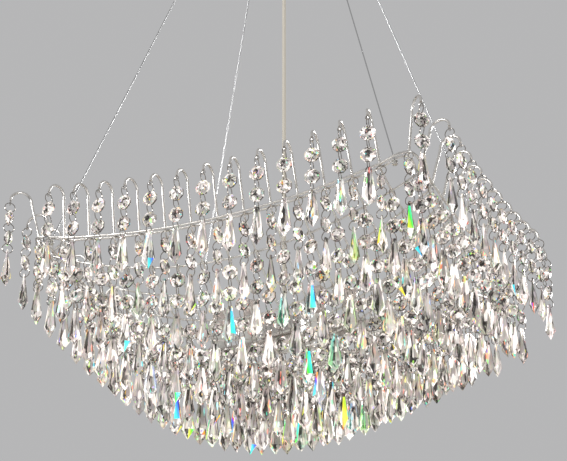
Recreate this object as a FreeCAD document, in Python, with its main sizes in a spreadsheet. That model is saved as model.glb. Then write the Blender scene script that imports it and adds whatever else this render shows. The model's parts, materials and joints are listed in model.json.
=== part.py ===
import FreeCAD, Part
import Sketcher
import math
import os

# Crystal pendant light: a sagging wire basket on four suspension wires, with a candy-cane hook over
# every wire end and a crystal strand on every hook and under every crossing. Millimetres, +Z up.
# The origin is on the ceiling, at the middle of the ceiling bracket. X runs along the long side.

Vector = FreeCAD.Vector
UP = Vector(0, 0, 1)
doc = FreeCAD.newDocument("CrystalPendant")

# Driving sizes, one row of the sheet each: alias, value, meaning.
SIZES = (
    ("column_pitch", 27.0, "spacing of the cross wires along X"),
    ("column_count", 15, "stations along X, both short edges included"),
    ("row_pitch", 25.7, "spacing of the long wires along Y"),
    ("row_count", 12, "stations along Y, both long edges included"),
    ("hang_drop", 517.5, "ceiling down to the corners of the frame"),
    ("long_edge_sag", 22.8, "sag of a long edge at its middle"),
    ("short_edge_sag", 14.4, "sag of a short edge at its middle"),
    ("bowl_sag", 62.8, "further sag of the grid at the middle of the bowl"),
    ("grid_wire", 2.0, "thickness of the grid wires"),
    ("rim_wire", 2.4, "thickness of the two rim rods"),
    ("outer_rim_lift", 2.4, "outer rim rod above the crossing plane"),
    ("inner_rim_lift", 3.0, "inner rim rod above the crossing plane"),
    ("weld_gap", 0.1, "gap between pieces that are joined"),
    ("crossing_gap", 0.25, "gap between the two layers of the grid"),
    ("hook_wire", 2.6, "thickness of a hook"),
    ("hook_stem", 38.5, "height of the hook's straight stem"),
    ("hook_lean", 10.0, "how far the stem leans out at its top"),
    ("crook_radius", 10.5, "radius of the hook's crook"),
    ("bead_width", 14.0, "octagon bead across its flats"),
    ("bead_depth", 7.6, "bead from face to face"),
    ("bead_girdle", 2.0, "thickness of the bead's edge"),
    ("bead_pitch", 22.0, "bead to bead down a strand"),
    ("first_bead_drop", 11.0, "grid wire down to the middle of the first bead"),
    ("hook_ring_drop", 7.5, "further drop of a strand that hangs on a hook"),
    ("ring_radius", 5.0, "wire ring, middle of its wire"),
    ("ring_wire", 1.0, "thickness of the ring's wire"),
    ("ring_play", 0.7, "slack of a ring in the hole that it hangs in"),
    ("drop_length", 38.0, "drop pendant, top to point"),
    ("drop_width", 13.0, "drop pendant at its widest"),
    ("drop_depth", 9.0, "drop pendant, front to back"),
    ("drop_neck", 6.0, "drop pendant at its top"),
    ("drop_neck_depth", 2.0, "drop pendant at its top, front to back"),
    ("drop_seat", 46.0, "grid wire down to the top of the drop pendant"),
    ("drop_hole", 3.0, "hole through the top of a drop pendant"),
    ("eye_size", 5.0, "eye plate at the nose of a hook"),
    ("eye_depth", 1.4, "thickness of the eye plate"),
    ("eye_hole", 2.6, "hole in the eye plate"),
    ("wire_width", 1.2, "suspension wire"),
    ("cable_width", 4.0, "power cable"),
    ("gripper_x", 33.5, "grippers to either side of the middle, along X"),
    ("gripper_y", 27.0, "grippers to either side of the middle, along Y"),
    ("gripper_width", 14.0, "gripper barrel across its corners"),
    ("gripper_length", 18.0, "gripper barrel"),
    ("collar_width", 8.6, "release collar across its corners"),
    ("collar_bore", 6.0, "bore of the release collar"),
    ("collar_length", 6.0, "release collar"),
    ("collar_travel", 1.5, "travel of the release collar"),
    ("collar_play", 0.4, "slack of the collar in the barrel"),
    ("stop_width", 6.0, "stop at the foot of a suspension wire"),
    ("stop_length", 4.0, "height of that stop"),
    ("canopy_length", 170.0, "canopy along X"),
    ("canopy_width", 120.0, "canopy along Y"),
    ("canopy_height", 30.0, "canopy, ceiling to underside"),
    ("canopy_wall", 1.2, "canopy wall"),
    ("canopy_chamfer", 5.0, "bevel round the underside"),
    ("strap_length", 150.0, "ceiling bracket along X"),
    ("strap_width", 24.0, "ceiling bracket along Y"),
    ("strap_wall", 2.0, "ceiling bracket thickness"),
    ("screw_spacing", 80.0, "ceiling screw to ceiling screw"),
    ("screw_hole", 5.2, "ceiling screw hole"),
    ("wire_entry", 14.0, "square supply hole in the middle of the bracket"),
    ("stud_spacing", 124.0, "canopy stud to canopy stud"),
    ("stud_width", 4.0, "canopy stud"),
    ("nut_width", 9.0, "cap nut across its corners"),
    ("nut_height", 7.0, "cap nut"),
    ("stud_play", 0.3, "slack of a stud in the canopy"),
    ("gland_width", 14.0, "cable gland across its corners"),
    ("gland_length", 12.0, "cable gland"),
    ("block_length", 26.0, "terminal block along X"),
    ("block_width", 14.0, "terminal block along Y"),
    ("block_height", 11.0, "terminal block"),
    ("block_offset", 19.0, "terminal block off the middle, along Y"),
    ("bar_columns", 3, "crossings from the middle to each foot of the lamp bar"),
    ("bar_overhang", 8.0, "lamp bar past the crossing that it rests on"),
    ("bar_width", 22.0, "lamp bar along Y"),
    ("bar_wall", 2.0, "lamp bar thickness"),
    ("box_length", 36.0, "junction box along X"),
    ("box_width", 26.0, "junction box along Y"),
    ("box_height", 18.0, "junction box"),
    ("box_wall", 1.6, "junction box wall"),
    ("cover_height", 2.4, "junction box cover"),
    ("holder_near", 36.0, "inner lamp holder from the middle"),
    ("holder_pitch", 33.0, "inner to outer lamp holder"),
    ("holder_width", 20.0, "lamp holder across its corners"),
    ("holder_height", 18.0, "lamp holder"),
    ("socket_length", 12.6, "socket in the holder along X"),
    ("socket_width", 5.6, "socket in the holder along Y"),
    ("socket_depth", 9.0, "socket depth"),
    ("bulb_play", 0.3, "slack of the bulb's foot in the socket"),
    ("bulb_width", 14.0, "bulb glass across its corners"),
    ("bulb_length", 30.0, "bulb glass"),
    ("bulb_shoulder", 4.0, "bevel at each end of the bulb glass"),
    ("bulb_rise", 3.0, "bulb glass above the holder"),
    ("lead_width", 2.0, "lead between box and holders"),
)

sheet = doc.addObject("Spreadsheet::Sheet", "Sizes")
for line, (alias, value, meaning) in enumerate(SIZES, start=1):
    sheet.set(f"A{line}", str(value))
    sheet.set(f"B{line}", meaning)
    sheet.setAlias(f"A{line}", alias)
doc.recompute()


def size(alias):
    return float(sheet.get(alias))


# Shares of the sizes above.
CROOK_STEPS = 4
RING_SIDES = 6
RIM_LONG_STEPS = 7
RIM_SHORT_STEPS = 6
DROP_WAIST_SHARE = 0.76
DROP_FACET_SHARE = 0.5
OCTAGON_SHARE = math.tan(math.pi / 8)
HOOK_SQUARE_SHARE = 0.6
HOOK_FAN_SHARE = 0.22

COLUMNS = int(size("column_count"))
ROWS = int(size("row_count"))
HALF_LENGTH = size("column_pitch") * (COLUMNS - 1) / 2
HALF_WIDTH = size("row_pitch") * (ROWS - 1) / 2
CANOPY_FLOOR = -size("canopy_height")
nodes = []


# Points nearer than this are one point, and patches nearer than this to a plane are flat.
TOUCH = 1e-7


# Solids from sections.
def patch(corners):
    """Faces of a three- or four-sided patch: one if it is flat, else two triangles."""
    ring = [p for i, p in enumerate(corners) if not p.isEqual(corners[i - 1], TOUCH)]
    if len(ring) < 3:
        return []
    if len(ring) == 4:
        normal = (ring[1] - ring[0]).cross(ring[2] - ring[0])
        if abs((ring[3] - ring[0]).dot(normal)) > TOUCH * max(normal.Length, TOUCH):
            return patch(ring[:3]) + patch([ring[0], ring[2], ring[3]])
    return [Part.Face(Part.makePolygon(ring + ring[:1]))]


def skin(sections, closed=False):
    """A closed solid through a list of sections: each a ring of points, or one point."""
    faces = []
    pairs = list(zip(sections, sections[1:]))
    if closed:
        pairs.append((sections[-1], sections[0]))
    for low, high in pairs:
        for j in range(max(len(low), len(high))):
            near, far = j, j + 1
            faces += patch([low[near % len(low)], low[far % len(low)],
                            high[far % len(high)], high[near % len(high)]])
    if not closed:
        for end in (sections[0], sections[-1]):
            if len(end) > 2:
                faces.append(Part.Face(Part.makePolygon(end + end[:1])))
    shell = Part.makeShell(faces)
    shell.sewShape()
    solid = Part.makeSolid(shell)
    if solid.Volume < 0:
        solid.reverse()
    return solid


def square_sweep(path, width):
    """A square wire along a path of (point, sideways direction), mitred at every point."""
    half = width / 2
    points = [point for point, side in path]
    sections = []
    for i, (point, side) in enumerate(path):
        before = (point - points[i - 1]).normalize() if i else None
        after = (points[i + 1] - point).normalize() if i < len(points) - 1 else None
        along = ((before or after) + (after or before)).normalize()
        across = (side - along * side.dot(along)).normalize()
        rise = across.cross(along) * (half / (after or before).dot(along))
        across = across * half
        sections.append([point + rise + across, point + rise - across,
                         point - rise - across, point - rise + across])
    return skin(sections)


def add_shape(label, solids):
    """A node whose shape is worked out by this file from the sheet."""
    feature = doc.addObject("Part::Feature", label)
    feature.Label = label
    feature.Shape = solids[0] if len(solids) == 1 else Part.makeCompound(solids)
    feature.Placement = FreeCAD.Placement()
    nodes.append(feature)
    return feature


# The frame: bowl height, grid wires with their hooks, and the rim.
def bowl_height(x, y):
    """Height of the crossing plane of the grid at a place in plan."""
    across, along = 1 - (x / HALF_LENGTH) ** 2, 1 - (y / HALF_WIDTH) ** 2
    sag = size("long_edge_sag") * across + size("short_edge_sag") * along
    return -size("hang_drop") - sag - size("bowl_sag") * across * along


def column_x(column):
    return -HALF_LENGTH + column * size("column_pitch")


def row_y(row):
    return -HALF_WIDTH + row * size("row_pitch")


def bowl_slopes(x, y):
    """Slopes of the crossing plane along X and along Y."""
    across, along = 1 - (x / HALF_LENGTH) ** 2, 1 - (y / HALF_WIDTH) ** 2
    slope_x = 2 * x / HALF_LENGTH ** 2 * (size("long_edge_sag") + size("bowl_sag") * along)
    slope_y = 2 * y / HALF_WIDTH ** 2 * (size("short_edge_sag") + size("bowl_sag") * across)
    return slope_x, slope_y


def layer():
    """Middle of a grid wire to the crossing plane."""
    return (size("grid_wire") + size("crossing_gap")) / 2


def foot_rise():
    """Foot of a hook above the middle of the grid wire that it stands on."""
    lean = size("hook_wire") / 2 * size("hook_lean") / size("hook_stem")
    return size("grid_wire") / 2 + lean + size("weld_gap")


def hook_frame(foot, out):
    """The upright of a hook, which leans a little square to its edge, and its sideways direction."""
    square = Vector(round(out.x), round(out.y), 0)
    if square.x and square.y:
        return UP, UP.cross(out)
    edge = UP.cross(square)
    slopes = bowl_slopes(foot.x, foot.y)
    slope = slopes[0] * edge.x + slopes[1] * edge.y
    upright = (UP - edge * (slope * HOOK_SQUARE_SHARE)).normalize()
    return upright, upright.cross(out)


def hook_path(foot, out):
    """Points of a hook up its stem and round its crook, each with its sideways direction."""
    upright, side = hook_frame(foot, out)
    top = foot + upright * size("hook_stem") + out * size("hook_lean")
    middle = top + out * size("crook_radius")
    points = [foot, top]
    for step in range(1, CROOK_STEPS + 1):
        turn = math.pi * step / CROOK_STEPS
        points.append(middle - out * (size("crook_radius") * math.cos(turn))
                      + upright * (size("crook_radius") * math.sin(turn)))
    return [(point, side) for point in points]


def hook_tip(foot, out):
    """The end of the crook, where the strand hangs."""
    return hook_path(foot, out)[-1][0]


def loose_columns():
    return [(COLUMNS - 1) // 2]


def loose_rows():
    return [(ROWS - 1) // 2]


def hook_sites():
    """Every hook: side, station, foot, outward direction, and whether its strand is loose.

    The hooks fan out along each edge, towards its ends.
    """
    sites = []
    for side, y, sign in (("front", -HALF_WIDTH, -1), ("back", HALF_WIDTH, 1)):
        for column in range(1, COLUMNS - 1):
            x = column_x(column)
            foot = Vector(x, y, bowl_height(x, y) - layer() + foot_rise())
            out = Vector(HOOK_FAN_SHARE * x / HALF_LENGTH, sign, 0).normalize()
            sites.append((side, column, foot, out, column in loose_columns()))
    for side, x, sign in (("left", -HALF_LENGTH, -1), ("right", HALF_LENGTH, 1)):
        for row in range(1, ROWS - 1):
            y = row_y(row)
            foot = Vector(x, y, bowl_height(x, y) + layer() + foot_rise())
            out = Vector(sign, HOOK_FAN_SHARE * y / HALF_WIDTH, 0).normalize()
            sites.append((side, row, foot, out, row in loose_rows()))
    for number, (sx, sy) in enumerate(((-1, -1), (1, -1), (1, 1), (-1, 1)), start=1):
        foot = Vector(sx * HALF_LENGTH, sy * HALF_WIDTH, -size("hang_drop"))
        sites.append(("corner", number, foot, Vector(sx, sy, 0).normalize(), True))
    return sites


def grid_wire(places, layer_sign, sideways):
    """One wire of the bowl. Its middle is off the crossing plane by one layer."""
    path = []
    for x, y in places:
        slope_x, slope_y = bowl_slopes(x, y)
        across = Vector(sideways.x, sideways.y, sideways.x * slope_x + sideways.y * slope_y)
        normal = Vector(-slope_x, -slope_y, 1).normalize()
        if (x, y) in (places[0], places[-1]):
            across, normal = sideways, UP
        surface = Vector(x, y, bowl_height(x, y))
        path.append((surface + normal * (layer_sign * layer()), across))
    return square_sweep(path, size("grid_wire"))


def build_grid(sites):
    cross_wires, long_wires = [], []
    for column in range(1, COLUMNS - 1):
        places = [(column_x(column), row_y(row)) for row in range(ROWS)]
        cross_wires.append(grid_wire(places, -1, Vector(1, 0, 0)))
    for row in range(1, ROWS - 1):
        places = [(column_x(column), row_y(row)) for column in range(COLUMNS)]
        long_wires.append(grid_wire(places, 1, Vector(0, -1, 0)))
    add_shape("cross_wires", cross_wires)
    add_shape("long_wires", long_wires)
    add_shape("hooks", [square_sweep(hook_path(foot, out), size("hook_wire"))
                        for side, station, foot, out, loose in sites])


def rim_offset(sign, lift):
    """Middle of a rim rod outward of the crossings, clear of the leaning stems."""
    clear = (size("hook_wire") * (1 + HOOK_FAN_SHARE) + size("rim_wire")) / 2 + size("weld_gap")
    reach = layer() + size("rim_wire") / 2
    lean = size("hook_lean") / size("hook_stem")
    return sign * clear + lean * max(lift + sign * reach, 0)


def rim_edges():
    """Direction, outward direction, half length, distance and steps of the four edges."""
    east, north = Vector(1, 0, 0), Vector(0, 1, 0)
    return ((east, -north, HALF_LENGTH, HALF_WIDTH, RIM_LONG_STEPS),
            (north, east, HALF_WIDTH, HALF_LENGTH, RIM_SHORT_STEPS),
            (-east, north, HALF_LENGTH, HALF_WIDTH, RIM_LONG_STEPS),
            (-north, -east, HALF_WIDTH, HALF_LENGTH, RIM_SHORT_STEPS))


def rim_bars(sign, lift):
    """The four mitred bars of one rim loop, outside the stems (sign 1) or inside them (-1)."""
    offset, half = rim_offset(sign, lift), size("rim_wire") / 2
    bars = []
    for along, out, reach, distance, steps in rim_edges():
        sections = []
        for step in range(steps + 1):
            share = 2 * step / steps - 1
            place = along * (reach * share) + out * distance
            height = bowl_height(place.x, place.y) + lift
            inner, outer = offset - half, offset + half
            corner = share if abs(share) == 1 else 0
            ring = []
            for reach_out, rise in ((inner, -half), (outer, -half), (outer, half), (inner, half)):
                point = place + out * reach_out + along * (corner * reach_out)
                ring.append(Vector(point.x, point.y, height + rise))
            sections.append(ring)
        bars.append(skin(sections))
    return bars


# Crystal strands.
def strand_levels(extra):
    """Drops of the beads, of the joints between crystals, and of the waist and point of the drop."""
    first = size("first_bead_drop") + extra
    beads = [first, first + size("bead_pitch")]
    joints = [bead + size("bead_pitch") / 2 for bead in beads]
    drop_top = size("drop_seat") + extra
    waist = drop_top + size("drop_length") * DROP_WAIST_SHARE
    return beads, joints, drop_top, waist, drop_top + size("drop_length")


def plain_strand(top, across, through, extra):
    """Three four-sided crystals that meet point to point."""
    beads, joints, drop_top, waist, point = strand_levels(extra)
    bead = (size("bead_width") / 2, size("bead_depth") / 2)
    drop = (size("drop_width") / 2, size("drop_depth") / 2)
    solids = []
    for start, middle, end, (half_width, half_depth) in (
            (0, beads[0], joints[0], bead), (joints[0], beads[1], joints[1], bead),
            (joints[1], waist, point, drop)):
        centre = top - UP * middle
        girdle = [centre + across * half_width, centre + through * half_depth,
                  centre - across * half_width, centre - through * half_depth]
        solids.append(skin([[top - UP * start], girdle, [top - UP * end]]))
    return solids


def octagon_bead(middle, across, through):
    """An octagon bead: a flat girdle, and eight facets that rise to a point on each face."""
    half = size("bead_width") / 2
    corner = half * OCTAGON_SHARE
    outline = [(half, corner), (corner, half), (-corner, half), (-half, corner),
               (-half, -corner), (-corner, -half), (corner, -half), (half, -corner)]
    girdles = []
    for sign in (-1, 1):
        place = middle + through * (sign * size("bead_girdle") / 2)
        girdles.append([place + across * a + UP * b for a, b in outline])
    face = through * (size("bead_depth") / 2)
    return skin([[middle - face]] + girdles + [[middle + face]])


def wire_ring(middle, out):
    """A ring of square wire in the upright plane that holds out, flat at its top and foot."""
    half = size("ring_wire") / 2
    across = out.cross(UP) * half
    stretch = 1 / math.cos(math.pi / RING_SIDES)
    sections = []
    for step in range(RING_SIDES):
        turn = math.pi * (2 * step + 1) / RING_SIDES
        arm = (out * math.sin(turn) + UP * math.cos(turn)) * stretch
        near, far = arm * (size("ring_radius") - half), arm * (size("ring_radius") + half)
        sections.append([middle + near + across, middle + far + across,
                         middle + far - across, middle + near - across])
    return skin(sections, closed=True)


def eye_drop():
    """Top of the eye plate below the end of the hook, whose end face tilts with its last run."""
    tilt = math.sin(math.pi / 2 / CROOK_STEPS)
    return size("hook_wire") / 2 * tilt + size("weld_gap")


def ring_drops():
    """Middles of the three rings below the end of the hook."""
    hole_foot = eye_drop() + (size("eye_size") + size("eye_hole")) / 2
    top = hole_foot - size("ring_wire") / 2 - size("ring_play") + size("ring_radius")
    return [top] + strand_levels(size("hook_ring_drop"))[1]


def square_block(middle, across, out, half_width, half_height, half_depth):
    """A block that stands square to out."""
    sections = []
    for sign in (-1, 1):
        place = middle + out * (sign * half_depth)
        sections.append([place + across * half_width + UP * half_height,
                         place - across * half_width + UP * half_height,
                         place - across * half_width - UP * half_height,
                         place + across * half_width - UP * half_height])
    return skin(sections)


def eye_plate(tip, out):
    """The plate at the end of a hook that its ring hangs in."""
    half, hole, depth = size("eye_size") / 2, size("eye_hole") / 2, size("eye_depth") / 2
    across = out.cross(UP)
    middle = tip - UP * (half + eye_drop())
    outer = square_block(middle, across, out, half, half, depth)
    return outer.cut(square_block(middle, across, out, hole, hole, 2 * depth))


def drop_pendant(tip, out, drilled):
    """A six-sided drop, with a hole through its top if it hangs loose."""
    across = out.cross(UP)
    beads, joints, top, waist, point = strand_levels(size("hook_ring_drop"))
    sections = []
    for drop, width, depth in ((top, size("drop_neck"), size("drop_neck_depth")),
                               (waist, size("drop_width"), size("drop_depth"))):
        middle = tip - UP * drop
        half, flat = width / 2, width / 2 * DROP_FACET_SHARE
        sections.append([middle + across * a + out * b for a, b in (
            (half, 0), (flat, depth / 2), (-flat, depth / 2),
            (-half, 0), (-flat, -depth / 2), (flat, -depth / 2))])
    drop = skin(sections + [[tip - UP * point]])
    if not drilled:
        return drop
    hole_top = ring_drops()[2] + size("ring_radius") - size("ring_wire") / 2 - size("ring_play")
    half = size("drop_hole") / 2
    return drop.cut(square_block(tip - UP * (hole_top + half), across, out, half, half, size("drop_depth")))


def loose_strand(tip, out, jointed):
    """A strand with real rings: its chain, and its drop where that swings on the last ring."""
    across = out.cross(UP)
    beads = strand_levels(size("hook_ring_drop"))[0]
    pieces = [octagon_bead(tip - UP * bead, across, out) for bead in beads]
    pieces += [wire_ring(tip - UP * drop, out) for drop in ring_drops()]
    drop = drop_pendant(tip, out, jointed)
    if jointed:
        return [pieces[0].multiFuse(pieces[1:]), drop]
    return [pieces[0].multiFuse(pieces[1:] + [drop])]


def grid_strand_top(column, row):
    """Where the strand under a crossing starts: just below the lowest wire there."""
    x, y = column_x(column), row_y(row)
    slope_x, slope_y = bowl_slopes(x, y)
    half = size("grid_wire") / 2
    on_short_edge, on_long_edge = column in (0, COLUMNS - 1), row in (0, ROWS - 1)
    if on_short_edge and on_long_edge:
        depth = size("hook_wire") / 2 * size("hook_lean") / size("hook_stem")
    elif on_short_edge:
        depth = half * math.hypot(1, slope_x) - layer()
    elif on_long_edge:
        depth = half * math.hypot(1, slope_y) + layer()
    else:
        depth = (half + layer()) * math.hypot(1, slope_x, slope_y)
    return Vector(x, y, bowl_height(x, y) - depth - size("weld_gap"))


def build_strands(sites):
    east, north = Vector(1, 0, 0), Vector(0, 1, 0)
    for row in range(ROWS):
        strands = []
        turns = (north, east) if row in (0, ROWS - 1) else (east, north)
        for column in range(COLUMNS):
            strands += plain_strand(grid_strand_top(column, row), *turns, 0)
        add_shape(f"crystals_row_{row + 1:02d}", strands)
    eyes = []
    hung = {"front": [], "back": [], "left": [], "right": []}
    for side, station, foot, out, loose in sites:
        tip = hook_tip(foot, out)
        if not loose:
            hung[side] += plain_strand(tip - UP * size("weld_gap"), out.cross(UP), out,
                                       size("hook_ring_drop"))
            continue
        eyes.append(eye_plate(tip, out))
        if side == "corner":
            chain, drop = loose_strand(tip, out, True)
            add_shape(f"corner_chain_{station}", [chain])
            add_shape(f"corner_drop_{station}", [drop])
        else:
            add_shape(f"{side}_loose_strand", loose_strand(tip, out, False))
    for side, strands in hung.items():
        add_shape(f"{side}_hook_crystals", strands)
    add_shape("hook_eyes", eyes)


# Parametric primitives, bound to the sheet.
def bind(item, **rules):
    for name, rule in rules.items():
        item.setExpression(name.replace("__", "."), rule)
    return item


def primitive(kind, name, place, **rules):
    """A Part primitive whose sizes and place are expressions of the sheet."""
    item = doc.addObject(f"Part::{kind}", name)
    item.Label = name
    bind(item, **rules)
    for axis, rule in zip("xyz", place):
        item.setExpression(f".Placement.Base.{axis}", rule)
    return item


def box(name, length, width, height, middle):
    """A box on its middle in plan and its underside."""
    x, y, z = middle
    place = (f"{x} - ({length}) / 2", f"{y} - ({width}) / 2", z)
    return primitive("Box", name, place, Length=length, Width=width, Height=height)


def prism(name, sides, width, height, place):
    """An upright prism with a regular outline, width across its corners."""
    item = primitive("Prism", name, place, Circumradius=f"({width}) / 2", Height=height)
    item.Polygon = sides
    return item


def group(label, items):
    """Several solids in one node."""
    item = doc.addObject("Part::Compound", label)
    item.Label = label
    item.Links = items
    nodes.append(item)
    return item


def cut(label, base, tools, keep=True):
    """base less all tools."""
    tool = tools[0]
    if len(tools) > 1:
        tool = doc.addObject("Part::MultiFuse", f"{label}_tools")
        tool.Shapes = tools
    item = doc.addObject("Part::Cut", label)
    item.Label = label
    item.Base, item.Tool = base, tool
    if keep:
        nodes.append(item)
    return item


# PartDesign helpers.
def new_body(label):
    body = doc.addObject("PartDesign::Body", label)
    body.Label = label
    nodes.append(body)
    return body


def plan_sketch(body, name, height):
    """A sketch parallel to the ground, at a height from the sheet."""
    sketch = body.newObject("Sketcher::SketchObject", name)
    plane = next(item for item in body.Origin.OriginFeatures if item.Role == "XY_Plane")
    sketch.AttachmentSupport = [(plane, "")]
    sketch.MapMode = "FlatFace"
    sketch.setExpression(".AttachmentOffset.Base.z", height)
    return sketch


def add_rectangle(sketch, length, width):
    """A rectangle on the origin, drawn at a guess and then bound to two expressions."""
    guess = size("strap_width")
    corners = [Vector(a * guess, b * guess, 0) for a, b in ((-1, -1), (1, -1), (1, 1), (-1, 1))]
    first = sketch.GeometryCount
    for i in range(4):
        sketch.addGeometry(Part.LineSegment(corners[i], corners[(i + 1) % 4]), False)
    for i in range(4):
        sketch.addConstraint(Sketcher.Constraint("Coincident", first + i, 2, first + (i + 1) % 4, 1))
    for i, way in enumerate(("Horizontal", "Vertical", "Horizontal", "Vertical")):
        sketch.addConstraint(Sketcher.Constraint(way, first + i))
    sketch.addConstraint(Sketcher.Constraint("Symmetric", first, 1, first + 2, 1, -1, 1))
    for line, way, rule in ((first, "DistanceX", length), (first + 1, "DistanceY", width)):
        index = sketch.addConstraint(Sketcher.Constraint(way, line, 1, line, 2, 2 * guess))
        sketch.setExpression(f"Constraints[{index}]", rule)


def add_hole_pair(sketch, spacing, width):
    """Two round holes on the X axis, drawn at a guess to either side of the origin."""
    guess = size("strap_width")
    first = sketch.GeometryCount
    for sign in (-1, 1):
        sketch.addGeometry(Part.Circle(Vector(sign * guess, 0, 0), UP, guess / 2), False)
    sketch.addConstraint(Sketcher.Constraint("Symmetric", first, 3, first + 1, 3, -1, 1))
    sketch.addConstraint(Sketcher.Constraint("PointOnObject", first, 3, -1))
    sketch.addConstraint(Sketcher.Constraint("Equal", first, first + 1))
    index = sketch.addConstraint(Sketcher.Constraint("DistanceX", first, 3, first + 1, 3, 2 * guess))
    sketch.setExpression(f"Constraints[{index}]", spacing)
    index = sketch.addConstraint(Sketcher.Constraint("Diameter", first, guess))
    sketch.setExpression(f"Constraints[{index}]", width)


def pad(body, sketch, length, down=False):
    feature = body.newObject("PartDesign::Pad", f"{body.Name}_pad")
    feature.Profile = sketch
    feature.Reversed = down
    feature.setExpression("Length", length)
    return feature


# Ceiling pieces.
def build_bracket():
    body = new_body("ceiling_bracket")
    outline = plan_sketch(body, "bracket_outline", "0")
    add_rectangle(outline, "Sizes.strap_length", "Sizes.strap_width")
    add_hole_pair(outline, "Sizes.screw_spacing", "Sizes.screw_hole")
    add_rectangle(outline, "Sizes.wire_entry", "Sizes.wire_entry")
    pad(body, outline, "Sizes.strap_wall", down=True)
    studs = [prism(f"stud_{sign}", 8, "Sizes.stud_width", "Sizes.canopy_height - Sizes.strap_wall "
                   "+ Sizes.nut_height / 2", (f"{sign}1 * Sizes.stud_spacing / 2", "0",
                                              "-Sizes.canopy_height - Sizes.nut_height / 2"))
             for sign in ("-", "+")]
    group("canopy_studs", studs)


def build_canopy():
    outer = box("canopy_outer", "Sizes.canopy_length", "Sizes.canopy_width", "Sizes.canopy_height",
                ("0", "0", "-Sizes.canopy_height"))
    doc.recompute()
    bevel = doc.addObject("Part::Chamfer", "canopy_bevel")
    bevel.Base = outer
    low = [i for i, edge in enumerate(outer.Shape.Edges, start=1)
           if all(abs(v.Z - CANOPY_FLOOR) < 1e-6 for v in edge.Vertexes)]
    bevel.Edges = [(i, size("canopy_chamfer"), size("canopy_chamfer")) for i in low]
    inner = box("canopy_inner", "Sizes.canopy_length - 2 * Sizes.canopy_wall",
                "Sizes.canopy_width - 2 * Sizes.canopy_wall", "Sizes.canopy_height - Sizes.canopy_wall",
                ("0", "0", "-Sizes.canopy_height + Sizes.canopy_wall"))
    inner_bevel = doc.addObject("Part::Chamfer", "canopy_inner_bevel")
    inner_bevel.Base = inner
    doc.recompute()
    low = [i for i, edge in enumerate(inner.Shape.Edges, start=1)
           if all(abs(v.Z - CANOPY_FLOOR - size("canopy_wall")) < 1e-6 for v in edge.Vertexes)]
    inner_bevel.Edges = [(i, size("canopy_chamfer"), size("canopy_chamfer")) for i in low]
    holes = [prism(f"canopy_hole_{sign}", 8, "Sizes.stud_width + 2 * Sizes.stud_play",
                   "3 * Sizes.canopy_wall", (f"{sign}1 * Sizes.stud_spacing / 2", "0",
                                             "-Sizes.canopy_height - Sizes.canopy_wall"))
             for sign in ("-", "+")]
    cut("canopy", bevel, [inner_bevel] + holes)
    nuts = []
    for sign in ("-", "+"):
        place = (f"{sign}1 * Sizes.stud_spacing / 2", "0", "-Sizes.canopy_height - Sizes.nut_height")
        blank = prism(f"nut_blank_{sign}", 6, "Sizes.nut_width", "Sizes.nut_height", place)
        bore = prism(f"nut_bore_{sign}", 8, "Sizes.stud_width + 2 * Sizes.weld_gap",
                     "Sizes.nut_height / 2 + 2 * Sizes.weld_gap",
                     (place[0], "0", "-Sizes.canopy_height - Sizes.nut_height / 2 - Sizes.weld_gap"))
        nuts.append(cut(f"nut_{sign}", blank, [bore], keep=False))
    group("cap_nuts", nuts)
    nodes.append(box("terminal_block", "Sizes.block_length", "Sizes.block_width", "Sizes.block_height",
                     ("0", "Sizes.block_offset", "-Sizes.canopy_height + Sizes.canopy_wall")))


def build_grippers():
    """Gripper barrels and release collars, one of each above every suspension wire."""
    barrels = []
    corners = (("-", "-"), ("+", "-"), ("+", "+"), ("-", "+"))
    for number, (sx, sy) in enumerate(corners, start=1):
        x, y = f"{sx}1 * Sizes.gripper_x", f"{sy}1 * Sizes.gripper_y"
        foot = "-Sizes.canopy_height - Sizes.gripper_length"
        barrel = prism(f"barrel_{number}", 6, "Sizes.gripper_width", "Sizes.gripper_length", (x, y, foot))
        recess = prism(f"recess_{number}", 6, "Sizes.collar_width + 2 * Sizes.collar_play",
                       "Sizes.collar_length / 2 + Sizes.collar_travel + Sizes.collar_play + Sizes.weld_gap",
                       (x, y, f"{foot} - Sizes.weld_gap"))
        barrels.append(cut(f"gripper_{number}", barrel, [recess], keep=False))
        low = f"{foot} - Sizes.collar_length / 2"
        collar = prism(f"collar_blank_{number}", 6, "Sizes.collar_width", "Sizes.collar_length", (x, y, low))
        bore = prism(f"collar_bore_{number}", 6, "Sizes.collar_bore",
                     "Sizes.collar_length + 2 * Sizes.weld_gap", (x, y, f"{low} - Sizes.weld_gap"))
        cut(f"release_collar_{number}", collar, [bore])
    group("gripper_barrels", barrels)


# Cords: straight from the gripper to the rim, and from the gland to the junction box.
def regular_ring(middle, width, sides):
    """Corners of a level regular outline, width across its corners."""
    half = width / 2
    turn = 2 * math.pi / sides
    return [middle + Vector(half * math.cos(turn * i), half * math.sin(turn * i), 0) for i in range(sides)]


def rim_height(x, lift):
    """Height of a rim rod on a long edge, along its straight runs."""
    step = 2 * HALF_LENGTH / RIM_LONG_STEPS
    start = math.floor((x + HALF_LENGTH) / step) * step - HALF_LENGTH
    low, high = bowl_height(start, HALF_WIDTH), bowl_height(start + step, HALF_WIDTH)
    return low + (high - low) * (x - start) / step + lift


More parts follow.
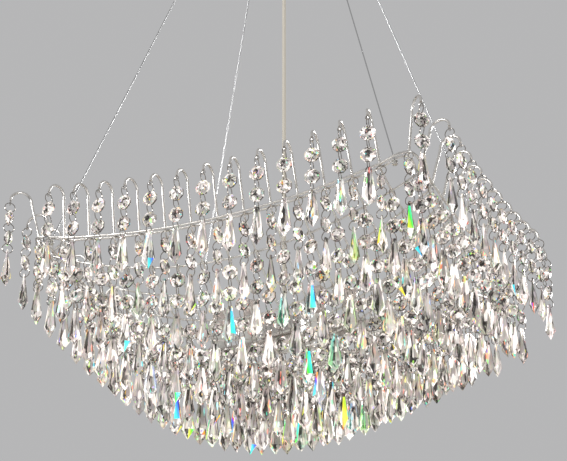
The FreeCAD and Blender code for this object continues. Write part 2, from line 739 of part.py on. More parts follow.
def wire_ends(sx, sy):
    """Top of a suspension wire, its foot between the rim rods, and the top of its stop."""
    half = size("wire_width") / 2
    x = sx * (HALF_LENGTH - size("column_pitch") / 2)
    gap = (rim_offset(1, size("outer_rim_lift")) + rim_offset(-1, size("inner_rim_lift"))) / 2
    middle = Vector(x, sy * (HALF_WIDTH + gap),
                    rim_height(x, (size("outer_rim_lift") + size("inner_rim_lift")) / 2))
    mouth = Vector(sx * size("gripper_x"), sy * size("gripper_y"), CANOPY_FLOOR - size("gripper_length"))
    along = (middle - mouth).normalize()
    tilt = half * math.hypot(along.x, along.y)
    ceiling = CANOPY_FLOOR - size("gripper_length") + collar_recess() - tilt - size("weld_gap")
    rim_slope = 2 * size("long_edge_sag") / HALF_LENGTH
    stop_top = rim_height(x, min(size("outer_rim_lift"), size("inner_rim_lift"))) - size("rim_wire") / 2
    stop_top -= rim_slope * size("stop_width") / 2 + size("weld_gap")
    top = mouth + along * ((ceiling - mouth.z) / along.z)
    foot = mouth + along * ((stop_top + tilt + size("weld_gap") - mouth.z) / along.z)
    return top, foot, Vector(foot.x, foot.y, stop_top)


def collar_recess():
    return size("collar_length") / 2 + size("collar_travel") + size("collar_play")


def cord(start, end, width, sides):
    """A straight faceted cord of the section of a round one."""
    along = (end - start).normalize()
    side = along.cross(Vector(1, 0, 0)).normalize()
    turn = 2 * math.pi / sides
    half = width / 2 * math.sqrt(turn / math.sin(turn))
    ring = [side * (half * math.cos(turn * i)) + along.cross(side) * (half * math.sin(turn * i))
            for i in range(sides)]
    return skin([[start + p for p in ring], [end + p for p in ring]])


def build_cords():
    stops = []
    for number, (sx, sy) in enumerate(((-1, -1), (1, -1), (1, 1), (-1, 1)), start=1):
        top, foot, stop = wire_ends(sx, sy)
        add_shape(f"suspension_wire_{number}", [cord(top, foot, size("wire_width"), 6)])
        stops.append(skin([regular_ring(stop - UP * size("stop_length"), size("stop_width"), 6),
                           regular_ring(stop, size("stop_width"), 6)]))
    add_shape("wire_stops", stops)
    top = Vector(0, 0, CANOPY_FLOOR - size("gland_length"))
    foot = Vector(0, 0, box_top() + size("gland_length") / 2)
    add_shape("power_cable", [cord(top, foot, size("cable_width"), 8)])


# Lamp parts in the bottom of the bowl.
def bar_foot():
    """Underside of the lamp bar, on the two cross wires that it rests on."""
    x = size("bar_columns") * size("column_pitch")
    slope = bowl_slopes(x, 0)[0]
    tilt = size("grid_wire") / 2 * slope / math.hypot(1, slope)
    return bowl_height(x, row_y(ROWS // 2)) + tilt + size("weld_gap")


def box_top():
    return bar_foot() + size("bar_wall") + size("box_height") + size("cover_height")


def block_on(length, width, height, x, z):
    """A block centred on the long axis of the lamp bar."""
    return Part.makeBox(length, width, height, Vector(x - length / 2, -width / 2, z))


def build_lamps():
    foot = bar_foot()
    reach = size("bar_columns") * size("column_pitch") + size("bar_overhang")
    add_shape("lamp_bar", [block_on(2 * reach, size("bar_width"), size("bar_wall"), 0, foot)])
    deck = foot + size("bar_wall")
    length, width, height, wall = (size(f"box_{word}") for word in ("length", "width", "height", "wall"))
    shell = block_on(length, width, height, 0, deck)
    hollow = block_on(length - 2 * wall, width - 2 * wall, height, 0, deck + wall)
    add_shape("junction_box", [shell.cut(hollow)])
    add_shape("box_cover", [block_on(length, width, size("cover_height"), 0, deck + height)])
    build_holders(deck)
    build_leads(deck)
    glands = []
    for middle, rise in ((Vector(0, 0, box_top()), size("gland_length") / 2),
                         (Vector(0, 0, CANOPY_FLOOR - size("gland_length")), size("gland_length"))):
        glands.append(skin([regular_ring(middle, size("gland_width"), 6),
                            regular_ring(middle + UP * rise, size("gland_width"), 6)]))
    add_shape("cable_glands", glands)


def holder_places():
    near, far = size("holder_near"), size("holder_near") + size("holder_pitch")
    return [-far, -near, near, far]


def build_holders(deck):
    holders = []
    for number, x in enumerate(holder_places(), start=1):
        mouth = Vector(x, 0, deck + size("holder_height"))
        blank = skin([regular_ring(Vector(x, 0, deck), size("holder_width"), 8),
                      regular_ring(mouth, size("holder_width"), 8)])
        holders.append(blank.cut(block_on(size("socket_length"), size("socket_width"),
                                          2 * size("socket_depth"), x, mouth.z - size("socket_depth"))))
        build_bulb(number, mouth)
    add_shape("lamp_holders", holders)


def build_leads(deck):
    """Leads from the box to the inner holders, and from those to the outer ones."""
    leads = []
    flat = size("holder_width") / 2
    starts = ((size("box_length") / 2, size("holder_near") - flat),
              (size("holder_near") + flat, size("holder_near") + size("holder_pitch") - flat))
    for sign in (-1, 1):
        for near, far in starts:
            leads.append(block_on(far - near, size("lead_width"), size("lead_width"),
                                  sign * (near + far) / 2, deck))
    add_shape("lamp_leads", leads)


def build_bulb(number, mouth):
    """A push-in bulb: an eight-sided glass with bevelled ends, and the flat foot in its socket."""
    play, shoulder = size("bulb_play"), size("bulb_shoulder")
    low = mouth + UP * size("bulb_rise")
    levels = ((0, shoulder), (shoulder, 0), (size("bulb_length") - shoulder, 0),
              (size("bulb_length"), shoulder))
    glass = skin([regular_ring(low + UP * rise, size("bulb_width") - 2 * inset, 8)
                  for rise, inset in levels])
    foot = block_on(size("socket_length") - 2 * play, size("socket_width") - 2 * play,
                    size("socket_depth") - play + size("bulb_rise"), mouth.x,
                    mouth.z - size("socket_depth") + play)
    add_shape(f"bulb_{number}", [glass, foot])


def main():
    sites = hook_sites()
    build_bracket()
    build_canopy()
    build_grippers()
    build_cords()
    build_grid(sites)
    add_shape("outer_rim", rim_bars(1, size("outer_rim_lift")))
    add_shape("inner_rim", rim_bars(-1, size("inner_rim_lift")))
    build_lamps()
    build_strands(sites)
    doc.recompute()
    check_and_export()


def check_and_export():
    for item in doc.Objects:
        if any(word in ("Invalid", "Error") for word in item.State):
            raise RuntimeError(f"{item.Label}: {item.State}")
    for node in nodes:
        if node.Shape.isNull() or not node.Shape.isValid() or not node.Shape.Solids:
            raise RuntimeError(f"{node.Label}: no valid shape")
    os.makedirs("parts", exist_ok=True)
    for node in nodes:
        node.Shape.exportStep(f"parts/{node.Label}.step")
    print(len(nodes), "nodes,", sum(len(node.Shape.Solids) for node in nodes), "solids,",
          sum(len(node.Shape.Faces) for node in nodes), "faces")


main()
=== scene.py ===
import json
import math
import random

import bmesh
import bpy
from mathutils import Matrix, Vector

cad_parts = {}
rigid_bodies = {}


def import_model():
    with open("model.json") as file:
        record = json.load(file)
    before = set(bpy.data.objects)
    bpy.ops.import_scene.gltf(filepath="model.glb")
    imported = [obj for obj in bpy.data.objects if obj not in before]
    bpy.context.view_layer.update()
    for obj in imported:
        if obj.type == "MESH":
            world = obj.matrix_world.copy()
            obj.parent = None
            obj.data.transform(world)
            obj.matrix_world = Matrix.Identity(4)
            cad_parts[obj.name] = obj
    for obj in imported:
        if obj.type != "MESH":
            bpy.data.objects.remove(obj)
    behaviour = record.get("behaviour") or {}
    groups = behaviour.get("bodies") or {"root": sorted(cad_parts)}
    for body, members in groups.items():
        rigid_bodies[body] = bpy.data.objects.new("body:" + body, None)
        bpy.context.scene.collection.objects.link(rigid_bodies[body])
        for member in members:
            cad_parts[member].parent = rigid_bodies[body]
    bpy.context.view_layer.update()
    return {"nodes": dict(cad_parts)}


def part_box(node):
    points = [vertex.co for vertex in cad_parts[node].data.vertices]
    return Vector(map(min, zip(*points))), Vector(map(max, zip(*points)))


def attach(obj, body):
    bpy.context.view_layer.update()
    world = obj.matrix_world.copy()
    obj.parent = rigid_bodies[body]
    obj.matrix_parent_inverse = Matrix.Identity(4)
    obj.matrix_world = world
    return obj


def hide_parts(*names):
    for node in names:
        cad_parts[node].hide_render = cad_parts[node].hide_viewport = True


bl_info = {
    "name": "Crystal pendant light",
    "version": (1, 0, 0),
    "blender": (4, 5, 0),
    "location": "View3D > Sidebar > Pendant light",
    "description": "Dresses the packed model of a wire-basket pendant light with crystals, chrome and lamps",
    "category": "Object",
}

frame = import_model()
UP = Vector((0, 0, 1))
EAST, NORTH = Vector((1, 0, 0)), Vector((0, 1, 0))
CORNERS = ((-1, -1), (1, -1), (1, 1), (-1, 1))
CROOK_STEPS = 12                  # runs of a hook's crook
CORD_LEAD_DIAMETERS = 6           # straight start of a cord, in its diameters
TURNED_EDGE = 35                  # degrees past which an edge of a turned piece stays sharp
RING_EDGE = 40                    # the same on a ring
ROD_EDGE = 60                     # the same on a rod

# Outlines of turned fittings: shares of the half width and of the height, with None at the hole.
PLUG = ((0, -1), (1, -1), (1, 1), (0, 1))
NUT = ((None, 0), (0.93, 0), (1, -0.15), (1, -1), (0.8, -1))
BARREL_TOP = ((0, 0), (0.9, 0), (1, -0.04), (1, -0.3))
BARREL_FOOT = ((1, -0.8), (0.82, -1), (None, -1), (None, -0.7), (0, -0.7))
COLLAR = ((0.68, 0), (0.85, 0), (1, -0.1), (1, -0.6), (0.9, -0.66), (0.9, -0.74), (1, -0.8), (1, -0.93),
          (0.85, -1), (0.68, -1))
GLAND_NUT = ((None, 0), (0.95, 0), (1, 0.08), (1, 0.42), (0.93, 0.48), (None, 0.48))
GLAND_CONE = ((None, 0.4), (0.74, 0.4), (0.74, 0.66), (0.62, 0.86))
BULB = ((0, 0), (0.55, 0), (0.9, 0.05), (1, 0.14), (1, 0.78), (0.9, 0.88), (0.6, 0.95), (0.2, 0.975),
        (0.12, 1), (0, 1))
HOLDER = ((0, 0), (0.96, 0), (1, 0.03), (1, 0.2), (0.9, 0.24), (0.9, 0.9), (0.82, 0.98), (0.78, 1), (0, 1))
SLEEVE = ((0, 0), (0.8, 0), (1, 0.12), (1, 0.3), (0.88, 0.4), (0.88, 0.6), (1, 0.7), (1, 0.9), (0.8, 1),
          (0, 1))
SCREW = ((0, 0), (0.0022, 0), (0.0022, 0.0004), (0.0014, 0.0011), (0, 0.0013))    # in metres

# Small measures of the fittings, in metres.
GLAND_HOLE = 0.00205              # radius, just clear of the cable
BAR_ROUND, BOX_ROUND, COVER_ROUND, BLOCK_ROUND, SOCKET_ROUND = 0.004, 0.0025, 0.0008, 0.001, 0.001
PRESS_ROUND, PRESS_SINK = 0.0008, 0.0002    # foot of a bulb, which ends just below the glass
SCREW_INSET, SCREW_SINK = 0.004, 0.0009
STOP_HEIGHT, STOP_INSET = 0.004, (0.003, 0.0026)
FILAMENT_WIRE, FILAMENT_LEAD = 0.0005, 0.0006
HOLDER_SITES = ((-1, 1), (-1, 0), (1, 0), (1, 1))    # side of the middle, and 1 for an outer holder

# Painted shade of the crystals' facets, 0 dark to 1 clear, set by each facet's place and slant, and the
# upright scale of the painted pattern inside them.
GIRDLE_TONE, TABLE_TONE, OUTER_TONE, INNER_TONE = -0.4, 0.2, 0.8, 0.45
POINT_TONE, POINT_SIDE_TONE, HEAD_TONE, FRONT_TONE, BEVEL_TONE, SIDE_TONE = 0.35, 0.4, 0.55, 0.45, 0.85, -0.2
BEAD_STREAK, DROP_STREAK = 0.7, 0.14
LONG_CUT = 0.4                    # a facet whose streak is below this is on a drop

# The painted light inside cut glass: its painted rainbows, glints and flecks.
PRISM_TURN = (37.0, 23.0, 9.0)    # turns of the rainbow in a metre along X, Y and Z
SPECTRUM_END = 0.7                # hue of violet, where a rainbow ends
GLINT_RATIO = 2.3                 # scale of the glints over that of the larger pattern
PAINTED_FLECK_SHARE = 0.1                  # how far the hues of the painted glints colour the facets
FLECK_DEPTH, RAINBOW_DEPTH = 0.9, 0.95
RELIEF_DEPTH = 0.0002             # metres of bump on worn and wound surfaces

# Lights: name, place and watts. Dark cards: name, place, width and height, and turn.
LIGHT_TARGET, LIGHT_SIDE = (0, 0, -0.58), 0.7
LIGHTS = (("key_light", (-1.6, -2.0, -0.1), 34), ("fill_light", (2.2, -1.2, -1.4), 17),
          ("back_light", (0.6, 2.2, 0.2), 26))
FLAGS = (("left_flag", (-1.9, 0.4, -0.8), (2.4, 1.1), math.pi / 2),
         ("right_flag", (1.9, 0.5, -0.8), (2.0, 1.1), math.pi / 2),
         ("front_flag", (0.1, -2.6, -0.9), (1.6, 0.9), 0), ("far_flag", (-0.5, 2.6, -0.5), (1.6, 0.8), 0))

# The material of each finish.
MATERIALS = {}


# Sizes, colours and settings that a user would change.
def length(name, default, description):
    return bpy.props.FloatProperty(name=name, description=description, default=default,
                                   unit="LENGTH", precision=5)


def share(name, default, description):
    return bpy.props.FloatProperty(name=name, description=description, default=default,
                                   subtype="FACTOR", min=0, max=1)


def count(name, default, description):
    return bpy.props.IntProperty(name=name, description=description, default=default)


def angle(name, degrees, description):
    return bpy.props.FloatProperty(name=name, description=description,
                                   default=math.radians(degrees), subtype="ANGLE")


def colour(name, default, description):
    return bpy.props.FloatVectorProperty(name=name, description=description, default=default,
                                         size=4, subtype="COLOR", min=0, max=1)


class BasketSizes(bpy.types.PropertyGroup):
    columns: count("Columns", 15, "Stations along X, edges included")
    rows: count("Rows", 12, "Stations along Y, edges included")
    column_pitch: length("Column pitch", 0.027, "Spacing of the cross wires")
    row_pitch: length("Row pitch", 0.0257, "Spacing of the long wires")
    hang_drop: length("Hang", 0.5175, "Ceiling down to the corners of the basket")
    long_edge_sag: length("Long edge sag", 0.0228, "Sag of a long edge at its middle")
    short_edge_sag: length("Short edge sag", 0.0144, "Sag of a short edge at its middle")
    bowl_sag: length("Bowl sag", 0.0628, "Further sag at the middle of the bowl")
    grid_wire: length("Grid wire", 0.002, "Thickness of the grid wires")
    rim_wire: length("Rim rod", 0.0024, "Thickness of the two rim rods")
    outer_rim_lift: length("Outer rim lift", 0.0024, "Outer rim rod above the crossings")
    inner_rim_lift: length("Inner rim lift", 0.003, "Inner rim rod above the crossings")
    rim_corner: length("Rim corner", 0.004, "Radius of the bend at a corner of the rim")
    weld_gap: length("Weld gap", 0.0001, "Gap between joined pieces")
    crossing_gap: length("Crossing gap", 0.00025, "Gap between the two layers of the grid")
    hook_wire: length("Hook wire", 0.0026, "Thickness of a hook")
    hook_stem: length("Hook stem", 0.0385, "Height of the straight stem")
    hook_lean: length("Hook lean", 0.01, "How far a stem leans out at its top")
    crook_radius: length("Crook radius", 0.0105, "Radius of the crook of a hook")
    hook_square: share("Hook squareness", 0.6, "How far hooks stand square to a sloping edge")
    hook_fan: share("Hook fan", 0.22, "Sideways part of a hook's direction at the ends of an edge")
    eye_radius: length("Eye radius", 0.0019, "Radius of the small eye at a hook's nose")
    eye_wire: length("Eye wire", 0.0011, "Thickness of that eye's wire")
    eye_drop: length("Eye drop", 0.0026, "Hook's nose down to the middle of the eye")


class StrandSizes(bpy.types.PropertyGroup):
    bead_width: length("Bead width", 0.014, "Octagon bead across its flats")
    bead_depth: length("Bead depth", 0.0076, "Bead from table to table")
    bead_girdle: length("Bead girdle", 0.0016, "Thickness of a bead's edge")
    bead_table: share("Bead table", 0.36, "Width of the flat table over the bead's width")
    bead_pitch: length("Bead pitch", 0.022, "Bead to bead down a strand")
    first_bead_drop: length("First bead", 0.011, "Wire down to the middle of the first bead")
    hook_ring_drop: length("Hook ring drop", 0.0075, "Further drop of a strand on a hook")
    ring_radius: length("Ring radius", 0.005, "Wire ring, middle of its wire")
    ring_wire: length("Ring wire", 0.00085, "Thickness of a ring's wire")
    drop_seat: length("Drop seat", 0.046, "Wire down to the top of the drop pendant")
    drop_length: length("Drop length", 0.038, "Drop pendant, top to point")
    drop_width: length("Drop width", 0.013, "Drop pendant at its widest")
    drop_depth: length("Drop depth", 0.009, "Drop pendant, front to back")
    drop_neck: length("Drop neck", 0.006, "Drop pendant at its top")
    drop_neck_depth: length("Drop neck depth", 0.002, "Drop pendant at its top, front to back")
    drop_waist: share("Drop waist", 0.76, "Place of the widest level down the drop")
    drop_head: length("Drop head", 0.005, "Height of the pierced head of a drop")
    drop_front: share("Drop front", 0.36, "Width of the flat front over the drop's width")
    drop_edge: share("Drop edge", 0.25, "Thickness of the drop's sides over its depth")
    drop_hole: length("Drop hole", 0.0015, "Hole through the head of a drop")
    facet_spread: share("Facet spread", 0.3, "How far facets differ in tone")
    turn_spread: angle("Turn spread", 16, "How far strands turn from square")
    seed: count("Seed", 7, "Seed of the strands' turns and facets")


class FittingSizes(bpy.types.PropertyGroup):
    canopy_wall: length("Canopy wall", 0.0012, "Thickness of the canopy's sheet")
    canopy_round: length("Canopy edge", 0.0045, "Radius of the canopy's lower edges")
    stud_spacing: length("Stud spacing", 0.124, "Canopy stud to canopy stud")
    stud_width: length("Stud", 0.004, "Thickness of a canopy stud")
    nut_width: length("Cap nut", 0.009, "Cap nut across its corners")
    gripper_x: length("Gripper X", 0.0335, "Grippers to either side of the middle, along X")
    gripper_y: length("Gripper Y", 0.027, "Grippers to either side of the middle, along Y")
    gripper_width: length("Gripper", 0.0132, "Thickness of a gripper barrel")
    collar_width: length("Collar", 0.0082, "Thickness of a release collar")
    gland_width: length("Gland", 0.014, "Cable gland across its corners")
    holder_near: length("Holder place", 0.036, "Inner lamp holder from the middle")
    holder_pitch: length("Holder spacing", 0.033, "Inner to outer lamp holder")
    holder_width: length("Holder", 0.0188, "Thickness of a lamp holder")
    socket_length: length("Socket length", 0.0126, "Socket in a holder, along X")
    socket_width: length("Socket width", 0.0056, "Socket in a holder, along Y")
    socket_depth: length("Socket depth", 0.009, "Depth of that socket")
    bulb_width: length("Bulb", 0.0136, "Thickness of a bulb's glass")
    bulb_wall: length("Bulb wall", 0.0007, "Thickness of the glass wall")
    bulb_length: length("Bulb length", 0.03, "Length of a bulb's glass")
    bulb_foot: length("Bulb foot", 0.0118, "Pressed foot of a bulb, along X")
    bulb_foot_depth: length("Bulb foot depth", 0.0046, "Pressed foot of a bulb, along Y")
    bulb_rise: length("Bulb rise", 0.003, "Glass above the holder")
    stop_width: length("Stop", 0.0056, "Stop at the foot of a suspension wire")


class Finishes(bpy.types.PropertyGroup):
    # The clear crystal's warm tint stands in for warm lamplight: painted light, also on the bulb glass and
    # the painted sparks.
    crystal_clear: colour("Clear crystal", (1.0, 0.935, 0.89, 1), "Glass of the crystals")
    crystal_shade: colour("Shaded facet", (0.045, 0.04, 0.038, 1), "Facets that catch no light")
    chrome: colour("Chrome", (0.66, 0.63, 0.6, 1), "Plated rods, hooks and fittings")
    # The basket's wire colour is the chrome painted lighter: painted light.
    bright_wire: colour("Bright wire", (0.88, 0.85, 0.81, 1), "Rods and wires of the basket")
    # The rings' colour is the same chrome painted darker: painted shade.
    ring_wire: colour("Ring wire", (0.4, 0.365, 0.33, 1), "Wire rings of the strands")
    steel: colour("Steel wire", (0.6, 0.6, 0.6, 1), "Suspension wires")
    copper: colour("Copper core", (0.66, 0.58, 0.45, 1), "Copper core in the clear cable")
    tin: colour("Tinned core", (0.84, 0.81, 0.73, 1), "Tinned core in the clear cable")
    nickel: colour("Nickel", (0.66, 0.65, 0.62, 1), "Grippers and collars")
    zinc: colour("Zinc plate", (0.58, 0.6, 0.61, 1), "Ceiling bracket and studs")
    ceramic: colour("Ceramic", (0.88, 0.87, 0.83, 1), "Lamp holders")
    plastic: colour("White plastic", (0.86, 0.86, 0.83, 1), "Terminal block and leads")
    backdrop: colour("Backdrop", (0.47, 0.47, 0.475, 1), "Plain pale background")
    floor: colour("Floor", (0.85, 0.85, 0.85, 1), "Plain pale floor")


class StageSizes(bpy.types.PropertyGroup):
    lens: bpy.props.FloatProperty(name="Lens", description="Focal length in millimetres",
                                  default=149.59)
    camera: bpy.props.FloatVectorProperty(name="Camera", description="Place of the camera", size=3,
                                          default=(0.8619, -1.8248, -1.5669), subtype="TRANSLATION")
    camera_turn: angle("Camera turn", 25.3, "Camera's heading, left of straight at the long side")
    camera_pitch: angle("Camera pitch", 28.3, "How far the camera looks up")
    floor_height: length("Floor", -2.4, "Height of the floor below the ceiling")
    floor_size: length("Floor size", 12.0, "Side of the floor")


PROPERTY_GROUPS = {"basket_sizes": BasketSizes, "strand_sizes": StrandSizes, "fitting_sizes": FittingSizes,
                   "pendant_finishes": Finishes, "pendant_stage": StageSizes}


def basket():
    return bpy.context.scene.basket_sizes


def strand():
    return bpy.context.scene.strand_sizes


def fittings():
    return bpy.context.scene.fitting_sizes


def finishes():
    return bpy.context.scene.pendant_finishes


def stage_sizes():
    return bpy.context.scene.pendant_stage


# Modelling helpers.
def select_only(*items):
    for item in bpy.context.view_layer.objects:
        item.select_set(False)
    for item in items:
        item.select_set(True)
    bpy.context.view_layer.objects.active = items[0]


def settle(item):
    """Puts an object's place into its mesh."""
    select_only(item)
    bpy.ops.object.transform_apply(location=True, rotation=True, scale=True)
    return item


def named(name):
    item = bpy.context.object
    item.name = name
    item.data.name = name
    return settle(item)


def copy_to(item, place):
    """A copy with its own mesh, moved by a matrix."""
    twin = item.copy()
    twin.data = item.data.copy()
    twin.data.transform(place)
    bpy.context.collection.objects.link(twin)
    return twin


def join(items, name):
    select_only(*items)
    if len(items) > 1:
        bpy.ops.object.join()
    return named(name)


def discard(*items):
    for item in items:
        bpy.data.objects.remove(item)


def pick(item, wanted, kind="FACE"):
    """Goes into edit mode with only the wanted faces or edges selected."""
    select_only(item)
    bpy.ops.object.mode_set(mode="EDIT")
    bpy.ops.mesh.select_mode(type=kind)
    bpy.ops.mesh.select_all(action="DESELECT")
    mesh = bmesh.from_edit_mesh(item.data)
    for part in mesh.faces if kind == "FACE" else mesh.edges:
        part.select_set(wanted(part))
    bmesh.update_edit_mesh(item.data)


def leave_edit():
    bpy.ops.object.mode_set(mode="OBJECT")


def outward(item):
    """Turns every face outwards."""
    pick(item, lambda face: True)
    bpy.ops.mesh.normals_make_consistent(inside=False)
    leave_edit()
    return item


def apply_modifier(item, kind, **settings):
    select_only(item)
    modifier = item.modifiers.new(kind.lower(), kind)
    for key, value in settings.items():
        setattr(modifier, key, value)
    bpy.ops.object.modifier_apply(modifier=modifier.name)
    return item


def smooth(item, degrees=TURNED_EDGE):
    select_only(item)
    bpy.ops.object.shade_smooth_by_angle(angle=math.radians(degrees))
    return item


def link(name, data):
    """An object that shows some data."""
    item = bpy.data.objects.new(name, data)
    bpy.context.collection.objects.link(item)
    return item


def new_curve(name, width, fineness):
    """An empty curve with a round, closed section."""
    curve = bpy.data.curves.new(name, "CURVE")
    curve.dimensions = "3D"
    curve.bevel_depth = width / 2
    curve.bevel_resolution = fineness
    curve.use_fill_caps = True
    return curve


def tube(name, points, width, cyclic=False, straight=False):
    """A round rod through points, as a smooth mesh."""
    curve = new_curve(name, width, 2)
    curve.resolution_u = 4
    spline = curve.splines.new("BEZIER")
    spline.bezier_points.add(len(points) - 1)
    for knot, point in zip(spline.bezier_points, points):
        knot.co = point
        knot.handle_left_type = knot.handle_right_type = "VECTOR" if straight else "AUTO"
    spline.use_cyclic_u = cyclic
    select_only(link(name, curve))
    bpy.ops.object.convert(target="MESH")
    return smooth(named(name), ROD_EDGE)


def in_order(item):
    """Puts corners and faces in a fixed order, since cuts and merges leave another in each run."""
    mesh = item.data
    spots = [vertex.co.copy() for vertex in mesh.vertices]
    order = sorted(range(len(spots)), key=lambda index: [round(value, 6) for value in spots[index]])
    rank = {old: new for new, old in enumerate(order)}
    loops = [[rank[index] for index in face.vertices] for face in mesh.polygons]
    starts = [loop.index(min(loop)) for loop in loops]
    loops = sorted(loop[start:] + loop[:start] for loop, start in zip(loops, starts))
    ordered = bpy.data.meshes.new(mesh.name)
    ordered.from_pydata([spots[index] for index in order], [], loops)
    item.data = ordered
    return item


def scaled(outline, wide, tall, hole=0):
    """An outline's (radius, height) points."""
    return [(hole if across is None else wide * across, tall * up) for across, up in outline]


def turned(name, profile, place=(0, 0, 0), sides=20, closed=False):
    """Spins a line of (radius, height) points round the vertical, and sets it on a place."""
    mesh = bpy.data.meshes.new(name)
    edges = [(i, i + 1) for i in range(len(profile) - 1)] + [(len(profile) - 1, 0)] * closed
    mesh.from_pydata([(radius, 0, height) for radius, height in profile], edges, [])
    item = link(name, mesh)
    select_only(item)
    bpy.ops.object.mode_set(mode="EDIT")
    bpy.ops.mesh.select_all(action="SELECT")
    bpy.ops.mesh.spin(steps=sides, angle=2 * math.pi, center=(0, 0, 0), axis=(0, 0, 1))
    bpy.ops.mesh.select_all(action="SELECT")
    bpy.ops.mesh.remove_doubles(threshold=1e-6)
    bpy.ops.mesh.normals_make_consistent(inside=False)
    leave_edit()
    item.data.transform(Matrix.Translation(place))
    return smooth(in_order(item))


def standing(one, other):
    """Whether the edge between two corners of a block stands upright."""
    return abs(one.z - other.z) > 0.001


def rounded_block(name, low, high, radius, wanted=lambda *ends: True):
    """A block between two corners with the wanted edges rounded."""
    low, high = Vector(low), Vector(high)
    bpy.ops.mesh.primitive_cube_add(size=1, location=(low + high) / 2)
    item = bpy.context.object
    item.scale = high - low
    item = named(name)
    pick(item, lambda edge: wanted(edge.verts[0].co, edge.verts[1].co), "EDGE")
    bpy.ops.mesh.bevel(offset=radius, segments=3)
    leave_edit()
    return smooth(item)


def bore(item, *bits):
    """Takes the bits out of a piece."""
    for bit in bits:
        apply_modifier(item, "BOOLEAN", operation="DIFFERENCE", solver="EXACT", object=bit)
    discard(*bits)
    return in_order(item)


def finish_piece(item, finish, *nodes, body="root"):
    """Gives a piece its material and body, and hides the nodes that it stands for."""
    item.data.materials.clear()
    item.data.materials.append(MATERIALS[finish])
    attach(item, body)
    if nodes:
        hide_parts(*nodes)


def dress(finish, *nodes):
    """Gives carried-over nodes their material."""
    for node in nodes:
        mesh = frame["nodes"][node].data
        mesh.materials.clear()
        mesh.materials.append(MATERIALS[finish])


# The basket's shape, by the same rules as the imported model.
def half_length():
    return basket().column_pitch * (basket().columns - 1) / 2


def half_width():
    return basket().row_pitch * (basket().rows - 1) / 2


def column_x(column):
    return column * basket().column_pitch - half_length()


def row_y(row):
    return row * basket().row_pitch - half_width()


def bowl_height(x, y):
    """Height of the crossing plane of the grid."""
    across, along = 1 - (x / half_length()) ** 2, 1 - (y / half_width()) ** 2
    sag = basket().long_edge_sag * across + basket().short_edge_sag * along
    return -basket().hang_drop - sag - basket().bowl_sag * across * along


def bowl_slopes(x, y):
    across, along = 1 - (x / half_length()) ** 2, 1 - (y / half_width()) ** 2
    slope_x = 2 * x / half_length() ** 2 * (basket().long_edge_sag + basket().bowl_sag * along)
    slope_y = 2 * y / half_width() ** 2 * (basket().short_edge_sag + basket().bowl_sag * across)
    return slope_x, slope_y


def layer():
    """Middle of a grid wire to the crossing plane."""
    return (basket().grid_wire + basket().crossing_gap) / 2


def hook_foot(x, y, layer_sign):
    lean = basket().hook_wire / 2 * basket().hook_lean / basket().hook_stem
    rise = basket().grid_wire / 2 + lean + basket().weld_gap
    return Vector((x, y, bowl_height(x, y) + layer_sign * layer() + rise))


def hook_sites():
    """Every hook: its side, station, foot and outward direction. They fan out along each edge."""
    sites = []
    fan = basket().hook_fan
    for side, sign in (("front", -1), ("back", 1)):
        for column in range(1, basket().columns - 1):
            foot = hook_foot(column_x(column), sign * half_width(), -1)
            out = Vector((fan * foot.x / half_length(), sign, 0)).normalized()
            sites.append((side, column, foot, out))
    for side, sign in (("left", -1), ("right", 1)):
        for row in range(1, basket().rows - 1):
            foot = hook_foot(sign * half_length(), row_y(row), 1)
            out = Vector((sign, fan * foot.y / half_width(), 0)).normalized()
            sites.append((side, row, foot, out))
    for station, (sx, sy) in enumerate(CORNERS, start=1):
        foot = Vector((sx * half_length(), sy * half_width(), -basket().hang_drop))
        sites.append(("corner", station, foot, Vector((sx, sy, 0)).normalized()))
    return sites


def hook_place(side, foot, out):
    """Matrix that puts a hook modelled with its crook towards +Y on its site."""
    upright = UP
    if side != "corner":
        edge = UP.cross(Vector((round(out.x), round(out.y), 0)))
        slopes = bowl_slopes(foot.x, foot.y)
        slope = slopes[0] * edge.x + slopes[1] * edge.y
        upright = (UP - edge * (slope * basket().hook_square)).normalized()
    place = Matrix((out.cross(upright), out, upright)).transposed().to_4x4()
    place.translation = foot
    return place


def hook_nose():
    """The nose of a hook in its own frame."""
    return Vector((0, basket().hook_lean + 2 * basket().crook_radius, basket().hook_stem))


def is_loose(side, station):
    middles = {"front": (basket().columns - 1) // 2, "left": (basket().rows - 1) // 2}
    middles["back"], middles["right"] = middles["front"], middles["left"]
    return side == "corner" or station == middles[side]


def facing(through):
    """Turn about the vertical that brings a strand's +Y to a direction."""
    return Matrix.Rotation(math.atan2(-through.x, through.y), 4, "Z")


# Materials.
def new_material(name):
    material = bpy.data.materials.new(name)
    material.use_nodes = True
    return material, material.node_tree, material.node_tree.nodes["Principled BSDF"]


def new_group(name, inputs, outputs):
    """An empty shader node group with named sockets, its input node and its output node."""
    group = bpy.data.node_groups.new(name, "ShaderNodeTree")
    for label, kind, default in inputs:
        socket = group.interface.new_socket(label, in_out="INPUT", socket_type=f"NodeSocket{kind}")
        socket.default_value = default
    for label, kind in outputs:
        group.interface.new_socket(label, in_out="OUTPUT", socket_type=f"NodeSocket{kind}")
    return group, group.nodes.new("NodeGroupInput"), group.nodes.new("NodeGroupOutput")


def feed(tree, node, values):
    """Links or sets a node's inputs, by number or name."""
    for key, value in dict(values).items():
        if isinstance(value, bpy.types.NodeSocket):
            tree.links.new(value, node.inputs[key])
        else:
            node.inputs[key].default_value = value
    return node


def add_node(tree, kind, values=(), **settings):
    """A node with its settings and its inputs."""
    node = tree.nodes.new(f"ShaderNode{kind}")
    for key, value in settings.items():
        setattr(node, key, value)
    return feed(tree, node, values)


def place_group(tree, name, values):
    """A shader node group in a material, with its values."""
    return feed(tree, add_node(tree, "Group", node_tree=bpy.data.node_groups[name]), values).outputs


def here(tree):
    """Object coordinates."""
    return add_node(tree, "TexCoord").outputs["Object"]


def calc(tree, operation, *values):
    """The result of a Math node."""
    return add_node(tree, "Math", dict(enumerate(values)), operation=operation).outputs[0]


def mix(tree, factor, first, second):
    """The first colour, blended into the second by the factor."""
    return add_node(tree, "Mix", {0: factor, 6: first, 7: second}, data_type="RGBA").outputs[2]


